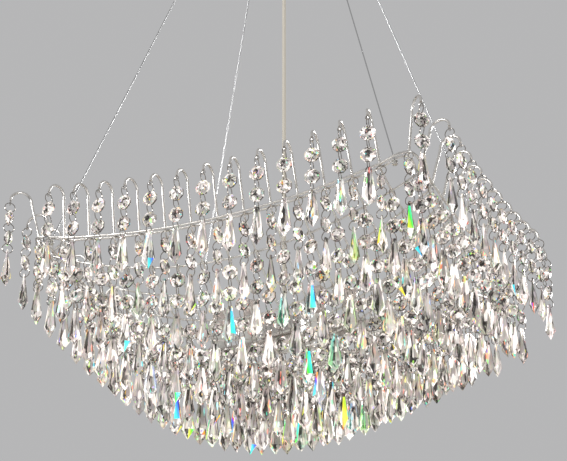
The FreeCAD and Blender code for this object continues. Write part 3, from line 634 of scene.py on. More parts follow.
def of_hue(tree, hue, depth):
    return add_node(tree, "CombineColor", {0: hue, 1: depth, 2: 1.0}, mode="HSV").outputs[0]


def cells(tree, where, scale):
    """Random red, green and blue of the cells of a pattern."""
    pattern = add_node(tree, "TexVoronoi", {"Vector": where, "Scale": scale})
    return add_node(tree, "SeparateColor", {0: pattern.outputs["Color"]}).outputs


def relief(tree, strength, height):
    """The normal of a fine bump."""
    bump = add_node(tree, "Bump", {"Strength": strength, "Distance": RELIEF_DEPTH, "Height": height})
    return bump.outputs["Normal"]


def polish_group():
    """Roughness and height of fine scratches and a thin film of dust."""
    group, entry, leave = new_group(
        "polish", (("Scale", "Float", 400.0), ("Low", "Float", 0.05), ("High", "Float", 0.2)),
        (("Roughness", "Float"), ("Height", "Float")))
    noise = add_node(group, "TexNoise", {"Vector": here(group), "Scale": entry.outputs["Scale"],
                                         "Detail": 4.0}).outputs["Fac"]
    rough = add_node(group, "MapRange", {"Value": noise, "From Min": 0.3, "From Max": 0.75,
                                         "To Min": entry.outputs["Low"], "To Max": entry.outputs["High"]})
    feed(group, leave, {"Roughness": rough.outputs["Result"], "Height": noise})


def facet_group():
    """Cut glass with painted light: each facet's painted shade, broken up by painted reflections inside it,
    with painted sparks and painted rainbows.
    """
    group, entry, leave = new_group(
        "facets", (("Facet", "Float", 0.5), ("Streak", "Float", 0.6), ("Scale", "Float", 360.0),
                   ("Break", "Float", 0.45),
                   ("Clear", "Color", (1, 1, 1, 1)), ("Shade", "Color", (0.1, 0.1, 0.1, 1)),
                   ("Spark", "Float", 0.8), ("Flash", "Float", 0.976),
                   ("Prism", "Float", 0.9), ("Prism Width", "Float", 0.009)),
        (("Color", "Color"), ("Glow", "Color"), ("Roughness", "Float")))
    facet, clear = entry.outputs["Facet"], entry.outputs["Clear"]
    where = here(group)

    # Two patterns, stretched upright, add up to the painted reflections that break a facet's painted shade.
    narrow = add_node(group, "CombineXYZ", {0: 1.0, 1: 1.0, 2: entry.outputs["Streak"]}).outputs[0]
    stretched = add_node(group, "VectorMath", {0: where, 1: narrow}, operation="MULTIPLY").outputs[0]
    inside = cells(group, stretched, entry.outputs["Scale"])
    glint = cells(group, stretched, calc(group, "MULTIPLY", entry.outputs["Scale"], GLINT_RATIO))
    both = calc(group, "ADD", inside["Red"], glint["Red"])
    drift = add_node(group, "MapRange", {"Value": both, "From Min": 0.3, "From Max": 1.7,
                                         "To Min": -1.0, "To Max": 1.0}).outputs["Result"]
    shift = calc(group, "MULTIPLY_ADD", drift, entry.outputs["Break"], facet)
    level = add_node(group, "MapRange", {"Value": shift, "From Min": 0.24, "From Max": 0.56},
                     interpolation_type="SMOOTHSTEP").outputs["Result"]
    clear_with_painted_flecks = mix(group, PAINTED_FLECK_SHARE, clear, of_hue(group, glint["Green"], FLECK_DEPTH))
    painted_tone = mix(group, level, entry.outputs["Shade"], clear_with_painted_flecks)

    # Painted glints: some cells are painted white in the emission and a few in a hue, warm ones more often.
    warm = calc(group, "POWER", glint["Green"], 2.0)
    fleck = of_hue(group, calc(group, "MULTIPLY", warm, SPECTRUM_END), FLECK_DEPTH)
    spark = calc(group, "GREATER_THAN", inside["Green"], entry.outputs["Spark"])
    flash = calc(group, "GREATER_THAN", calc(group, "MAXIMUM", glint["Blue"], inside["Blue"]),
                 entry.outputs["Flash"])
    painted_glint = mix(group, flash, mix(group, spark, (0, 0, 0, 1), clear), fleck)

    # A few whole facets of the drops get a painted rainbow in their colour and their emission.
    banded = calc(group, "COMPARE", facet, entry.outputs["Prism"], entry.outputs["Prism Width"])
    prism = calc(group, "MULTIPLY", banded, calc(group, "LESS_THAN", entry.outputs["Streak"], LONG_CUT))
    along = add_node(group, "VectorMath", {0: where, 1: PRISM_TURN}, operation="DOT_PRODUCT").outputs["Value"]
    hue = calc(group, "MULTIPLY", calc(group, "FRACT", along), SPECTRUM_END)
    rainbow = of_hue(group, hue, RAINBOW_DEPTH)
    haze = add_node(group, "MapRange", {"Value": facet, "To Min": 0.01, "To Max": 0.05})
    feed(group, leave, {"Color": mix(group, prism, painted_tone, rainbow), "Glow": mix(group, prism, painted_glint, rainbow),
                        "Roughness": haze.outputs["Result"]})


def crystal_material():
    """Cut lead crystal: clear glass with painted shade on its facets, painted glints in its emission and a
    few painted rainbow flashes.
    """
    material, tree, shader = new_material("cut_crystal")
    facet = add_node(tree, "Attribute", attribute_name="facet").outputs["Fac"]
    streak = add_node(tree, "Attribute", attribute_name="streak").outputs["Fac"]
    cut = place_group(tree, "facets", {"Facet": facet, "Streak": streak, "Clear": finishes().crystal_clear,
                                       "Shade": finishes().crystal_shade})
    # The emission paints sparks and rainbows on glass that is no lamp: painted light.
    feed(tree, shader, {"Base Color": cut["Color"], "Roughness": cut["Roughness"],
                        "Emission Color": cut["Glow"], "Emission Strength": 0.68,
                        "Transmission Weight": 0.6, "IOR": 1.6})
    return material


def darker(tint, factor):
    return [value * factor for value in tint[:3]] + [1]


def worn_material(name, tint, polish, mottle_scale, darkest, bump):
    """A scratched and mottled surface. polish holds the scratches' scale and the roughness's limits."""
    material, tree, shader = new_material(name)
    worn = place_group(tree, "polish", dict(zip(("Scale", "Low", "High"), polish)))
    mottle = add_node(tree, "TexNoise", {"Vector": here(tree), "Scale": mottle_scale}).outputs["Fac"]
    feed(tree, shader, {"Base Color": mix(tree, mottle, tint, darker(tint, darkest)),
                        "Roughness": worn["Roughness"], "Normal": relief(tree, bump, worn["Height"])})
    return material, shader


def metal_material(name, tint, low, high):
    """Plated or drawn metal."""
    material, shader = worn_material(name, tint, (500.0, low, high), 500.0 / 12, 0.82, 0.05)
    shader.inputs["Metallic"].default_value = 1
    return material


def moulded_material(name, tint, low, high, coat=0.0):
    """Moulded plastic or glazed ceramic."""
    material, shader = worn_material(name, tint, (900.0, low, high), 60.0, 0.9, 0.15)
    shader.inputs["Coat Weight"].default_value = coat
    return material


def twist_material(name, first, second, pitch, metallic):
    """Two kinds of strand laid round each other, seen along a cord."""
    material, tree, shader = new_material(name)
    lay = add_node(tree, "TexWave", {"Vector": here(tree), "Scale": 1 / pitch, "Distortion": 0.6,
                                     "Detail": 1.0}, bands_direction="DIAGONAL").outputs["Fac"]
    feed(tree, shader, {"Base Color": mix(tree, lay, first, second), "Normal": relief(tree, 0.15, lay),
                        "Metallic": metallic, "Roughness": 0.22, "Coat Weight": 1.0 - metallic})
    return material


def bulb_material():
    material, tree, shader = new_material("bulb_glass")
    polish = place_group(tree, "polish", {"Scale": 300.0, "Low": 0.0, "High": 0.05})
    feed(tree, shader, {"Roughness": polish["Roughness"], "Base Color": finishes().crystal_clear,
                        "Transmission Weight": 0.75, "IOR": 1.45})
    return material


def build_materials():
    polish_group()
    facet_group()
    look = finishes()
    twist = basket().hook_wire
    return {"crystal": crystal_material(),
            "chrome": metal_material("chrome_plate", look.chrome, 0.1, 0.2),
            # Chrome painted lighter for the rods, grid and hooks: painted light.
            "wire": metal_material("bright_wire", look.bright_wire, 0.24, 0.36),
            # Chrome painted darker for the strand rings: painted shade.
            "rings": metal_material("ring_wire", look.ring_wire, 0.08, 0.18),
            "steel": twist_material("steel_wire", look.steel, darker(look.steel, 0.8), twist / 2, 1.0),
            "cable": twist_material("clear_cable", look.tin, look.copper, 1.5 * twist, 0.25),
            "nickel": metal_material("satin_nickel", look.nickel, 0.22, 0.34),
            "zinc": metal_material("zinc_plate", look.zinc, 0.28, 0.45),
            "ceramic": moulded_material("glazed_ceramic", look.ceramic, 0.12, 0.25, 0.6),
            "plastic": moulded_material("white_plastic", look.plastic, 0.35, 0.5),
            "bulb": bulb_material()}


# Camera, cords, and the operators that make each group of pieces.
class PENDANT_OT_camera(bpy.types.Operator):
    """Set the camera below the light, looking up at its long side"""
    bl_idname = "pendant.camera"
    bl_label = "Camera"

    def execute(self, context):
        stage = stage_sizes()
        bpy.ops.object.camera_add(location=stage.camera)
        camera = context.object
        camera.rotation_euler = (math.pi / 2 + stage.camera_pitch, 0, stage.camera_turn)
        camera.data.lens = stage.lens
        camera.data.clip_end = 100
        context.scene.camera = camera
        return {"FINISHED"}


def cord_ends(node, width, sx, sy):
    """Ends of a straight cord's line, from the box of its node."""
    low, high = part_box(node)
    run = Vector(((high.x - low.x) * sx, (high.y - low.y) * sy, low.z - high.z)).normalized()
    inset = [width / 2 * math.sqrt(1 - c * c) for c in run]
    near = Vector((low.x if sx > 0 else high.x, low.y if sy > 0 else high.y, high.z))
    far = Vector((high.x if sx > 0 else low.x, high.y if sy > 0 else low.y, low.z))
    signs = Vector((sx, sy, -1))
    for i in range(3):
        near[i] += signs[i] * inset[i]
        far[i] -= signs[i] * inset[i]
    return near, far


def straight_cord(name, node, start, end, width, finish):
    """A taut cord from start to end that stands for its node."""
    run = (end - start).normalized()
    lead = run * (CORD_LEAD_DIAMETERS * width)
    curve = new_curve(name, width, 3)
    spline = curve.splines.new("NURBS")
    points = [start, start + lead, end - lead, end]
    spline.points.add(len(points) - 1)
    for knot, point in zip(spline.points, points):
        knot.co = (*point, 1)
    spline.order_u = 3
    spline.use_endpoint_u = True
    cord = link(name, curve)
    finish_piece(cord, finish, node)


class PENDANT_OT_cords(bpy.types.Operator):
    """Hang the four suspension wires and the power cable"""
    bl_idname = "pendant.cords"
    bl_label = "Wires and cable"
    wire_width: length("Wire width", 0.0012, "Suspension wire")
    cable_width: length("Cable width", 0.004, "Power cable")

    def execute(self, context):
        for station, (sx, sy) in enumerate(CORNERS, start=1):
            node = f"suspension_wire_{station}"
            start, end = cord_ends(node, self.wire_width, sx, sy)
            straight_cord(f"steel_wire_{station}", node, start, end, self.wire_width, "steel")
        low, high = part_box("power_cable")
        straight_cord("clear_cable", "power_cable", Vector((0, 0, high.z)), Vector((0, 0, low.z)),
                      self.cable_width, "cable")
        return {"FINISHED"}


class PENDANT_OT_grid(bpy.types.Operator):
    """Lay the wires of the bowl and bend the two rim rods"""
    bl_idname = "pendant.grid"
    bl_label = "Grid and rim"

    def wire(self, name, places, layer_sign):
        points = []
        for x, y in places:
            slope_x, slope_y = bowl_slopes(x, y)
            normal = Vector((-slope_x, -slope_y, 1)).normalized()
            if (x, y) in (places[0], places[-1]):
                normal = UP
            points.append(Vector((x, y, bowl_height(x, y))) + normal * (layer_sign * layer()))
        return tube(name, points, basket().grid_wire)

    def rim(self, name, sign, lift):
        """One rim rod, outside the hooks (sign 1) or inside them (-1)."""
        sizes = basket()
        lean = sizes.hook_lean / sizes.hook_stem
        offset = sign * ((sizes.hook_wire * (1 + sizes.hook_fan) + sizes.rim_wire) / 2 + sizes.weld_gap)
        offset += lean * max(lift + sign * (layer() + sizes.rim_wire / 2), 0)
        points = []
        for along, out, reach, distance, steps in (
                (EAST, -NORTH, half_length(), half_width(), sizes.columns - 1),
                (NORTH, EAST, half_width(), half_length(), sizes.rows - 1),
                (-EAST, NORTH, half_length(), half_width(), sizes.columns - 1),
                (-NORTH, -EAST, half_width(), half_length(), sizes.rows - 1)):
            for step in range(steps + 1):
                share_along = 2 * step / steps - 1
                place = along * (reach * share_along) + out * distance
                height = bowl_height(place.x, place.y) + lift
                corner = share_along * (offset - sizes.rim_corner) if abs(share_along) == 1 else 0
                points.append(Vector((place.x, place.y, height)) + out * offset + along * corner)
        return tube(name, points, sizes.rim_wire, cyclic=True)

    def execute(self, context):
        sizes = basket()
        columns = [column_x(column) for column in range(sizes.columns)]
        rows = [row_y(row) for row in range(sizes.rows)]
        cross = [self.wire(f"cross_{number}", [(x, y) for y in rows], -1)
                 for number, x in enumerate(columns[1:-1], start=1)]
        long = [self.wire(f"long_{number}", [(x, y) for x in columns], 1)
                for number, y in enumerate(rows[1:-1], start=1)]
        finish_piece(join(cross, "round_cross_wires"), "wire", "cross_wires")
        finish_piece(join(long, "round_long_wires"), "wire", "long_wires")
        for word, sign, lift in (("outer", 1, sizes.outer_rim_lift), ("inner", -1, sizes.inner_rim_lift)):
            finish_piece(self.rim(f"{word}_rim_rod", sign, lift), "wire", f"{word}_rim")
        return {"FINISHED"}


class PENDANT_OT_hooks(bpy.types.Operator):
    """Bend one hook with its eye and stand copies of it round the rim"""
    bl_idname = "pendant.hooks"
    bl_label = "Hooks"

    def hook(self):
        sizes = basket()
        top = Vector((0, sizes.hook_lean, sizes.hook_stem))
        middle = top + NORTH * sizes.crook_radius
        points = [Vector(), top / 2, top]
        for step in range(1, CROOK_STEPS + 1):
            turn = math.pi * step / CROOK_STEPS
            points.append(middle - NORTH * (sizes.crook_radius * math.cos(turn))
                          + UP * (sizes.crook_radius * math.sin(turn)))
        return tube("hook", points, sizes.hook_wire)

    def eye(self):
        sizes = basket()
        bpy.ops.mesh.primitive_torus_add(major_segments=12, minor_segments=6, major_radius=sizes.eye_radius,
                                         minor_radius=sizes.eye_wire / 2, rotation=(math.pi / 2, 0, 0))
        return smooth(named("eye"), RING_EDGE)

    def execute(self, context):
        hook, eye = self.hook(), self.eye()
        hooks, eyes = [], []
        for side, station, foot, out in hook_sites():
            place = hook_place(side, foot, out)
            hooks.append(copy_to(hook, place))
            drop = Matrix.Translation(place @ hook_nose() - UP * basket().eye_drop)
            eyes.append(copy_to(eye, drop @ facing(out)))
        discard(hook, eye)
        finish_piece(join(hooks, "bent_hooks"), "wire", "hooks")
        finish_piece(join(eyes, "wire_eyes"), "chrome", "hook_eyes")
        return {"FINISHED"}


# Crystals: one bead, one drop and one ring, modelled once.
def drill(item, height, width):
    """A round hole from front to back."""
    bpy.ops.mesh.primitive_cylinder_add(vertices=6, radius=width / 2, depth=4 * strand().bead_depth,
                                        location=(0, 0, height), rotation=(math.pi / 2, 0, 0))
    bore(item, bpy.context.object)


def paint_facet_tones(item, streak, rule):
    """Gives each facet its painted shade, 0 dark to 1 clear, and its pattern's upright scale."""
    faces = item.data.polygons
    painted_tones = item.data.attributes.new("facet", "FLOAT", "FACE")
    painted_tones.data.foreach_set("value", [rule(face.center, face.normal) for face in faces])
    streaks = item.data.attributes.new("streak", "FLOAT", "FACE")
    streaks.data.foreach_set("value", [streak] * len(faces))
    return item


def make_bead():
    """An octagon bead with its faces to +Y and -Y, a star of sixteen facets round a table on each."""
    sizes = strand()
    radius = sizes.bead_width / 2 / math.cos(math.pi / 8)
    bpy.ops.mesh.primitive_cylinder_add(vertices=8, radius=radius, depth=sizes.bead_girdle,
                                        rotation=(math.pi / 2, 0, 0))
    bead = named("bead")
    rise = (sizes.bead_depth - sizes.bead_girdle) / 2
    for sign in (-1, 1):
        pick(bead, lambda face: face.normal.y * sign > 0.9)
        bpy.ops.mesh.extrude_region_move(TRANSFORM_OT_translate={"value": (0, sign * rise, 0)})
        bpy.ops.transform.resize(value=(sizes.bead_table, 1, sizes.bead_table))
        bpy.ops.transform.rotate(value=math.pi / 8, orient_axis="Y", center_override=(0, 0, 0))
        leave_edit()
    bead.data.transform(Matrix.Rotation(math.pi / 8, 4, "Y"))
    pick(bead, lambda face: 0.1 < abs(face.normal.y) < 0.99)
    bpy.ops.mesh.quads_convert_to_tris(quad_method="SHORTEST_DIAGONAL")
    leave_edit()
    outward(bead)
    for sign in (-1, 1):
        drill(bead, sign * (sizes.bead_pitch / 2 - sizes.ring_radius), 2 * sizes.ring_wire)
    star_middle = radius * (1 + sizes.bead_table) / 2

    # Painted shade by each facet's slant and place: dark girdle and table, clearer star facets.
    def rule(centre, normal):
        if abs(normal.y) < 0.1:
            return GIRDLE_TONE
        if abs(normal.y) > 0.99:
            return TABLE_TONE
        return OUTER_TONE if math.hypot(centre.x, centre.z) > star_middle * 0.9 else INNER_TONE
    return paint_facet_tones(bead, BEAD_STREAK, rule)


def make_drop():
    """A flat-fronted drop with a pierced head, a waist and a point, hung from the origin."""
    sizes = strand()
    waist, head = sizes.drop_length * sizes.drop_waist, sizes.drop_head
    half_neck, half_width = sizes.drop_neck / 2, sizes.drop_width / 2
    bpy.ops.mesh.primitive_cylinder_add(vertices=8, radius=1, depth=head / 2, location=(0, 0, -head / 4))
    drop = named("drop")
    drop.data.transform(Matrix.Rotation(math.pi / 8, 4, "Z"))
    for vertex in drop.data.vertices:
        side = 1 if abs(vertex.co.x) > abs(vertex.co.y) else sizes.drop_front
        spread = 0.7 if vertex.co.z > -head / 4 else 1
        depth = sizes.drop_neck_depth / 2 * (sizes.drop_edge if side == 1 else 1)
        vertex.co.x = math.copysign(half_neck * side * spread, vertex.co.x)
        vertex.co.y = math.copysign(depth, vertex.co.y)
    waist_shares = (half_width / half_neck, sizes.drop_depth / sizes.drop_neck_depth)
    for level, (wide, deep) in ((head, (1, 1)), (waist, waist_shares)):
        pick(drop, lambda face: face.normal.z < -0.9)
        lowest = min(vertex.co.z for vertex in drop.data.vertices)
        bpy.ops.mesh.extrude_region_move(TRANSFORM_OT_translate={"value": (0, 0, -level - lowest)})
        bpy.ops.transform.resize(value=(wide, deep, 1), center_override=(0, 0, -level))
        leave_edit()
    pick(drop, lambda face: face.normal.z < -0.9)
    bpy.ops.mesh.extrude_region_move(TRANSFORM_OT_translate={"value": (0, 0, waist - sizes.drop_length)})
    bpy.ops.mesh.merge(type="COLLAPSE")
    leave_edit()
    outward(drop)
    drill(drop, -head / 2, sizes.drop_hole)

    # Painted shade by each facet's slant and place: dark sides, clear bevels, mid-tone front, head and point.
    def rule(centre, normal):
        if centre.z < -waist:
            return POINT_TONE + POINT_SIDE_TONE * (abs(normal.x) > 0.4)
        if centre.z > -head:
            return HEAD_TONE
        return FRONT_TONE if abs(normal.y) > 0.9 else BEVEL_TONE if abs(normal.y) > 0.3 else SIDE_TONE
    return paint_facet_tones(drop, DROP_STREAK, rule)


def make_ring():
    """A wire ring in the upright plane of +Y."""
    sizes = strand()
    bpy.ops.mesh.primitive_torus_add(major_segments=12, minor_segments=5, major_radius=sizes.ring_radius,
                                     minor_radius=sizes.ring_wire / 2, rotation=(0, math.pi / 2, 0))
    return smooth(named("ring"), RING_EDGE)


def bead_drops(extra):
    first = strand().first_bead_drop + extra
    return [first, first + strand().bead_pitch]


def ring_drops(extra):
    """Middles of the three rings of a strand."""
    half_pitch = strand().bead_pitch / 2
    return [bead_drops(extra)[0] - half_pitch] + [drop + half_pitch for drop in bead_drops(extra)]


def scatter_facets(item):
    """Spreads the painted shade of the facets at random."""
    rng = random.Random(f"{item.name} {strand().seed}")
    spread = strand().facet_spread
    for painted_tone in item.data.attributes["facet"].data:
        painted_tone.value = min(max(painted_tone.value + rng.uniform(-spread, spread), 0), 1)


def down_strand(pattern, drops, name):
    """Copies of a pattern at some drops below the origin, as one object."""
    return join([copy_to(pattern, Matrix.Translation(-UP * drop)) for drop in drops], name)


class StrandKit:
    """The patterns of one strand: its beads, its drop and its rings, hung from the origin."""

    def __init__(self, extra):
        bead, drop, ring = make_bead(), make_drop(), make_ring()
        self.beads = down_strand(bead, bead_drops(extra), "beads")
        self.drop = copy_to(drop, Matrix.Translation(-UP * (strand().drop_seat + extra)))
        self.rings = down_strand(ring, ring_drops(extra), "rings")
        discard(bead, drop, ring)

    def hang(self, name, places, body, node):
        """Strands at places, as one piece of crystals and one of rings."""
        self.crystals(f"{name}_crystals", places, (self.beads, self.drop), body, node)
        self.metal(f"{name}_rings", places, body)

    def crystals(self, name, places, patterns, body, node):
        crystals = join([copy_to(pattern, place) for place in places for pattern in patterns], name)
        scatter_facets(crystals)
        finish_piece(crystals, "crystal", node, body=body)

    def metal(self, name, places, body):
        finish_piece(join([copy_to(self.rings, place) for place in places], name), "rings", body=body)

    def clear(self):
        discard(self.beads, self.drop, self.rings)


def grid_strand_top(column, row):
    """Just below the lowest wire at a crossing."""
    sizes = basket()
    x, y = column_x(column), row_y(row)
    slope_x, slope_y = bowl_slopes(x, y)
    half = sizes.grid_wire / 2
    on_short_edge, on_long_edge = column in (0, sizes.columns - 1), row in (0, sizes.rows - 1)
    if on_short_edge and on_long_edge:
        depth = sizes.hook_wire / 2 * sizes.hook_lean / sizes.hook_stem
    elif on_short_edge:
        depth = half * math.hypot(1, slope_x) - layer()
    elif on_long_edge:
        depth = half * math.hypot(1, slope_y) + layer()
    else:
        depth = (half + layer()) * math.hypot(1, slope_x, slope_y)
    return Vector((x, y, bowl_height(x, y) - depth - sizes.weld_gap))


class PENDANT_OT_grid_strands(bpy.types.Operator):
    """Hang a strand of two beads and a drop under every crossing of the grid"""
    bl_idname = "pendant.grid_strands"
    bl_label = "Strands under the grid"

    def execute(self, context):
        sizes = basket()
        kit = StrandKit(0)
        rng = random.Random(strand().seed)
        for row in range(sizes.rows):
            through = EAST if row in (0, sizes.rows - 1) else NORTH
            places = []
            for column in range(sizes.columns):
                turn = Matrix.Rotation(rng.uniform(-1, 1) * strand().turn_spread, 4, "Z")
                places.append(Matrix.Translation(grid_strand_top(column, row)) @ turn @ facing(through))
            kit.hang(f"grid_{row + 1:02d}", places, "root", f"crystals_row_{row + 1:02d}")
        kit.clear()
        return {"FINISHED"}


class PENDANT_OT_hook_strands(bpy.types.Operator):
    """Hang the strands on the hooks, the loose ones on their own bodies"""
    bl_idname = "pendant.hook_strands"
    bl_label = "Strands on the hooks"

    def execute(self, context):
        kit = StrandKit(strand().hook_ring_drop)
        fixed = {}
        for side, station, foot, out in hook_sites():
            nose = hook_place(side, foot, out) @ hook_nose()
            place = Matrix.Translation(nose) @ facing(out)
            if side == "corner":
                self.corner(kit, station, place)
            elif is_loose(side, station):
                kit.hang(f"{side}_loose", [place], f"{side}_loose_strand", f"{side}_loose_strand")
            else:
                fixed.setdefault(side, []).append(place)
        for side, places in fixed.items():
            kit.hang(f"{side}_hook", places, "root", f"{side}_hook_crystals")
        kit.clear()
        return {"FINISHED"}

    def corner(self, kit, station, place):
        """A corner strand: the chain swings on the hook, and the drop on the chain."""
        chain, drop = f"corner_chain_{station}", f"corner_drop_{station}"
        kit.crystals(f"corner_beads_{station}", [place], (kit.beads,), chain, chain)
        kit.metal(f"corner_rings_{station}", [place], chain)
        kit.crystals(f"corner_pendant_{station}", [place], (kit.drop,), drop, drop)


class PENDANT_OT_canopy(bpy.types.Operator):
    """Make the ceiling canopy with its cap nuts, grippers, glands and what is under it"""
    bl_idname = "pendant.canopy"
    bl_label = "Canopy"

    def shell(self):
        """The folded sheet, open to the ceiling, with its two stud holes."""
        sizes = fittings()
        low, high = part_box("canopy")
        shell = rounded_block("canopy_shell", low, high, sizes.canopy_round,
                              lambda one, other: min(one.z, other.z) < low.z + sizes.canopy_wall)
        pick(shell, lambda face: face.normal.z > 0.9)
        bpy.ops.mesh.delete(type="FACE")
        leave_edit()
        apply_modifier(shell, "SOLIDIFY", thickness=sizes.canopy_wall, offset=-1)
        width = sizes.stud_width / 2 * 1.15
        bits = [turned("bit", scaled(PLUG, width, width), (sign * sizes.stud_spacing / 2, 0, low.z))
                for sign in (-1, 1)]
        finish_piece(smooth(bore(shell, *bits)), "chrome", "canopy")

    def cap_nuts(self):
        """A hexagon with chamfered corners and a domed cap on each stud."""
        sizes = fittings()
        low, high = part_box("cap_nuts")
        dome, hole = sizes.nut_width * 0.4, sizes.stud_width / 2 * 1.06
        tall = (high.z - low.z) - dome * 0.9
        steps = [math.pi / 2 * i / 6 for i in range(7)]
        cap = [(hole, -tall * 0.9), (dome, -tall * 0.9)]
        cap += [(dome * math.cos(turn), -tall - dome * 0.9 * math.sin(turn)) for turn in steps]
        cap += [(0, -tall * 0.98 - dome * 0.2), (hole, -tall)]
        items = []
        for sign in (-1, 1):
            place = (sign * sizes.stud_spacing / 2, 0, high.z)
            items.append(turned("hexagon", scaled(NUT, sizes.nut_width / 2, tall, hole), place, 6, True))
            items.append(turned("dome", cap, place, 16, True))
        finish_piece(join(items, "domed_nuts"), "chrome", "cap_nuts")

    def grippers(self):
        """Round barrels with a grooved grip, and the collars that release the wires."""
        sizes = fittings()
        low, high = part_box("gripper_barrels")
        tall, wide, side = high.z - low.z, sizes.gripper_width / 2, sizes.collar_width / 2
        profile = scaled(BARREL_TOP, wide, tall)
        for groove in range(4):
            level = -tall * (0.34 + groove * 0.07)
            profile += [(wide, level), (wide * 0.93, level - tall * 0.01),
                        (wide * 0.93, level - tall * 0.03), (wide, level - tall * 0.04)]
        profile += scaled(BARREL_FOOT, wide, tall, side * 1.12)
        barrels = []
        for number, (sx, sy) in enumerate(CORNERS, start=1):
            place = Vector((sx * sizes.gripper_x, sy * sizes.gripper_y, high.z))
            barrels.append(turned("barrel", profile, place, 24))
            node = f"release_collar_{number}"
            foot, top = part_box(node)
            collar = turned(f"push_collar_{number}", scaled(COLLAR, side, top.z - foot.z),
                            (place.x, place.y, top.z), 20, True)
            finish_piece(collar, "nickel", node, body=node)
        finish_piece(join(barrels, "round_grippers"), "nickel", "gripper_barrels")

    def glands(self):
        """A hexagon and a cone round the cable, at the canopy and at the junction box."""
        wide = fittings().gland_width / 2
        foot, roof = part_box("box_cover")[1].z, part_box("canopy")[0].z
        items = []
        for level, way, end in ((roof, -1, 1), (foot, 1, 0)):
            rise = way * abs(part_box("power_cable")[end].z - level)
            nut = scaled(GLAND_NUT, wide, rise, GLAND_HOLE)
            cone = scaled(GLAND_CONE, wide, rise, GLAND_HOLE) + [(GLAND_HOLE * 1.5, rise), (GLAND_HOLE, rise)]
            items.append(turned("nut", nut, (0, 0, level), 6, True))
            items.append(turned("cone", cone, (0, 0, level), 20, True))
        finish_piece(join(items, "coned_glands"), "chrome", "cable_glands")

    def terminal_block(self):
        """A block with two rows of four screw wells."""
        low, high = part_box("terminal_block")
        block = rounded_block("screw_block", low, high, BLOCK_ROUND)
        span = high - low
        wide = span.y / 6
        bits = [turned("bit", scaled(PLUG, wide, wide),
                       (low.x + span.x * (column + 0.5) / 4, low.y + span.y * row, high.z), 12)
                for column in range(4) for row in (0.3, 0.7)]
        finish_piece(smooth(bore(block, *bits)), "plastic", "terminal_block")

    def execute(self, context):
        self.shell()
        self.cap_nuts()
        self.grippers()
        self.glands()
        dress("zinc", "ceiling_bracket", "canopy_studs")
        self.terminal_block()
        return {"FINISHED"}


class PENDANT_OT_lamps(bpy.types.Operator):
    """Make the lamp bar, the junction box, the ceramic holders, the capsule bulbs and the wire stops"""
    bl_idname = "pendant.lamps"
    bl_label = "Lamps"

    def box_and_bar(self):
        for node, radius in (("lamp_bar", BAR_ROUND), ("junction_box", BOX_ROUND)):
            finish_piece(rounded_block(f"rounded_{node}", *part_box(node), radius, standing), "chrome", node)
        low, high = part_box("box_cover")
        cover = rounded_block("screwed_cover", low, high, COVER_ROUND)
        reach = (high.x - low.x) / 2 - SCREW_INSET
        screws = [turned("screw", SCREW, (sign * reach, 0, high.z - SCREW_SINK), 16) for sign in (-1, 1)]
        finish_piece(join([cover] + screws, "screwed_cover"), "chrome", "box_cover")

    def bulb(self, number, mouth):
        """A capsule with its filament, pressed foot and leads."""
        sizes = fittings()
        body = f"bulb_{number}"
        wide, tall = sizes.bulb_width / 2, sizes.bulb_length
        foot = mouth + UP * sizes.bulb_rise
        glass = turned("glass", scaled(BULB, wide, tall), foot, 20)
        apply_modifier(glass, "SOLIDIFY", thickness=sizes.bulb_wall, offset=-1)
        half = Vector((sizes.bulb_foot / 2, sizes.bulb_foot_depth / 2, 0))
        press = rounded_block("press", mouth - half - UP * (sizes.socket_depth * 0.5),
                              foot + half - UP * PRESS_SINK, PRESS_ROUND)
        finish_piece(join([glass, press], f"capsule_{number}"), "bulb", body, body=body)
        coil = wide * 0.18
        turns = [foot + Vector((coil * math.cos(step * 1.1), coil * math.sin(step * 1.1),
                                tall * (0.3 + 0.02 * step))) for step in range(22)]
        wires = [tube("filament", turns, FILAMENT_WIRE)]
        for side, rise, end in ((1, 0.3, turns[0]), (-1, 0.78, turns[-1])):
            root = foot + EAST * (side * wide * 0.35)
            wires.append(tube("lead", [root, root + UP * tall * rise, end], FILAMENT_LEAD, straight=True))
        finish_piece(join(wires, f"filament_{number}"), "nickel", body=body)

    def stops(self):
        """The crimped sleeves that hold the rim up on the suspension wires."""
        low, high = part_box("wire_stops")
        profile = scaled(SLEEVE, fittings().stop_width / 2, STOP_HEIGHT)
        sleeves = []
        for sx, sy in CORNERS:
            x = (high.x if sx > 0 else low.x) - sx * STOP_INSET[0]
            y = (high.y if sy > 0 else low.y) - sy * STOP_INSET[1]
            sleeves.append(turned("sleeve", profile, (x, y, low.z), 16))
        finish_piece(join(sleeves, "crimped_sleeves"), "nickel", "wire_stops")

    def execute(self, context):
        sizes = fittings()
        self.box_and_bar()
        low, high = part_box("lamp_holders")
        profile = scaled(HOLDER, sizes.holder_width / 2, high.z - low.z)
        corner = Vector((sizes.socket_length / 2, sizes.socket_width / 2, sizes.socket_depth))
        holders = []
        for number, (sign, far) in enumerate(HOLDER_SITES, start=1):
            x = sign * (sizes.holder_near + far * sizes.holder_pitch)
            holder = turned("holder", profile, (x, 0, low.z), 28)
            mouth = Vector((x, 0, high.z))
            socket = rounded_block("socket", mouth - corner, mouth + corner, SOCKET_ROUND, standing)
            holders.append(smooth(bore(holder, socket)))
            self.bulb(number, mouth)
        finish_piece(join(holders, "round_holders"), "ceramic", "lamp_holders")
        dress("plastic", "lamp_leads")
        self.stops()
        return {"FINISHED"}


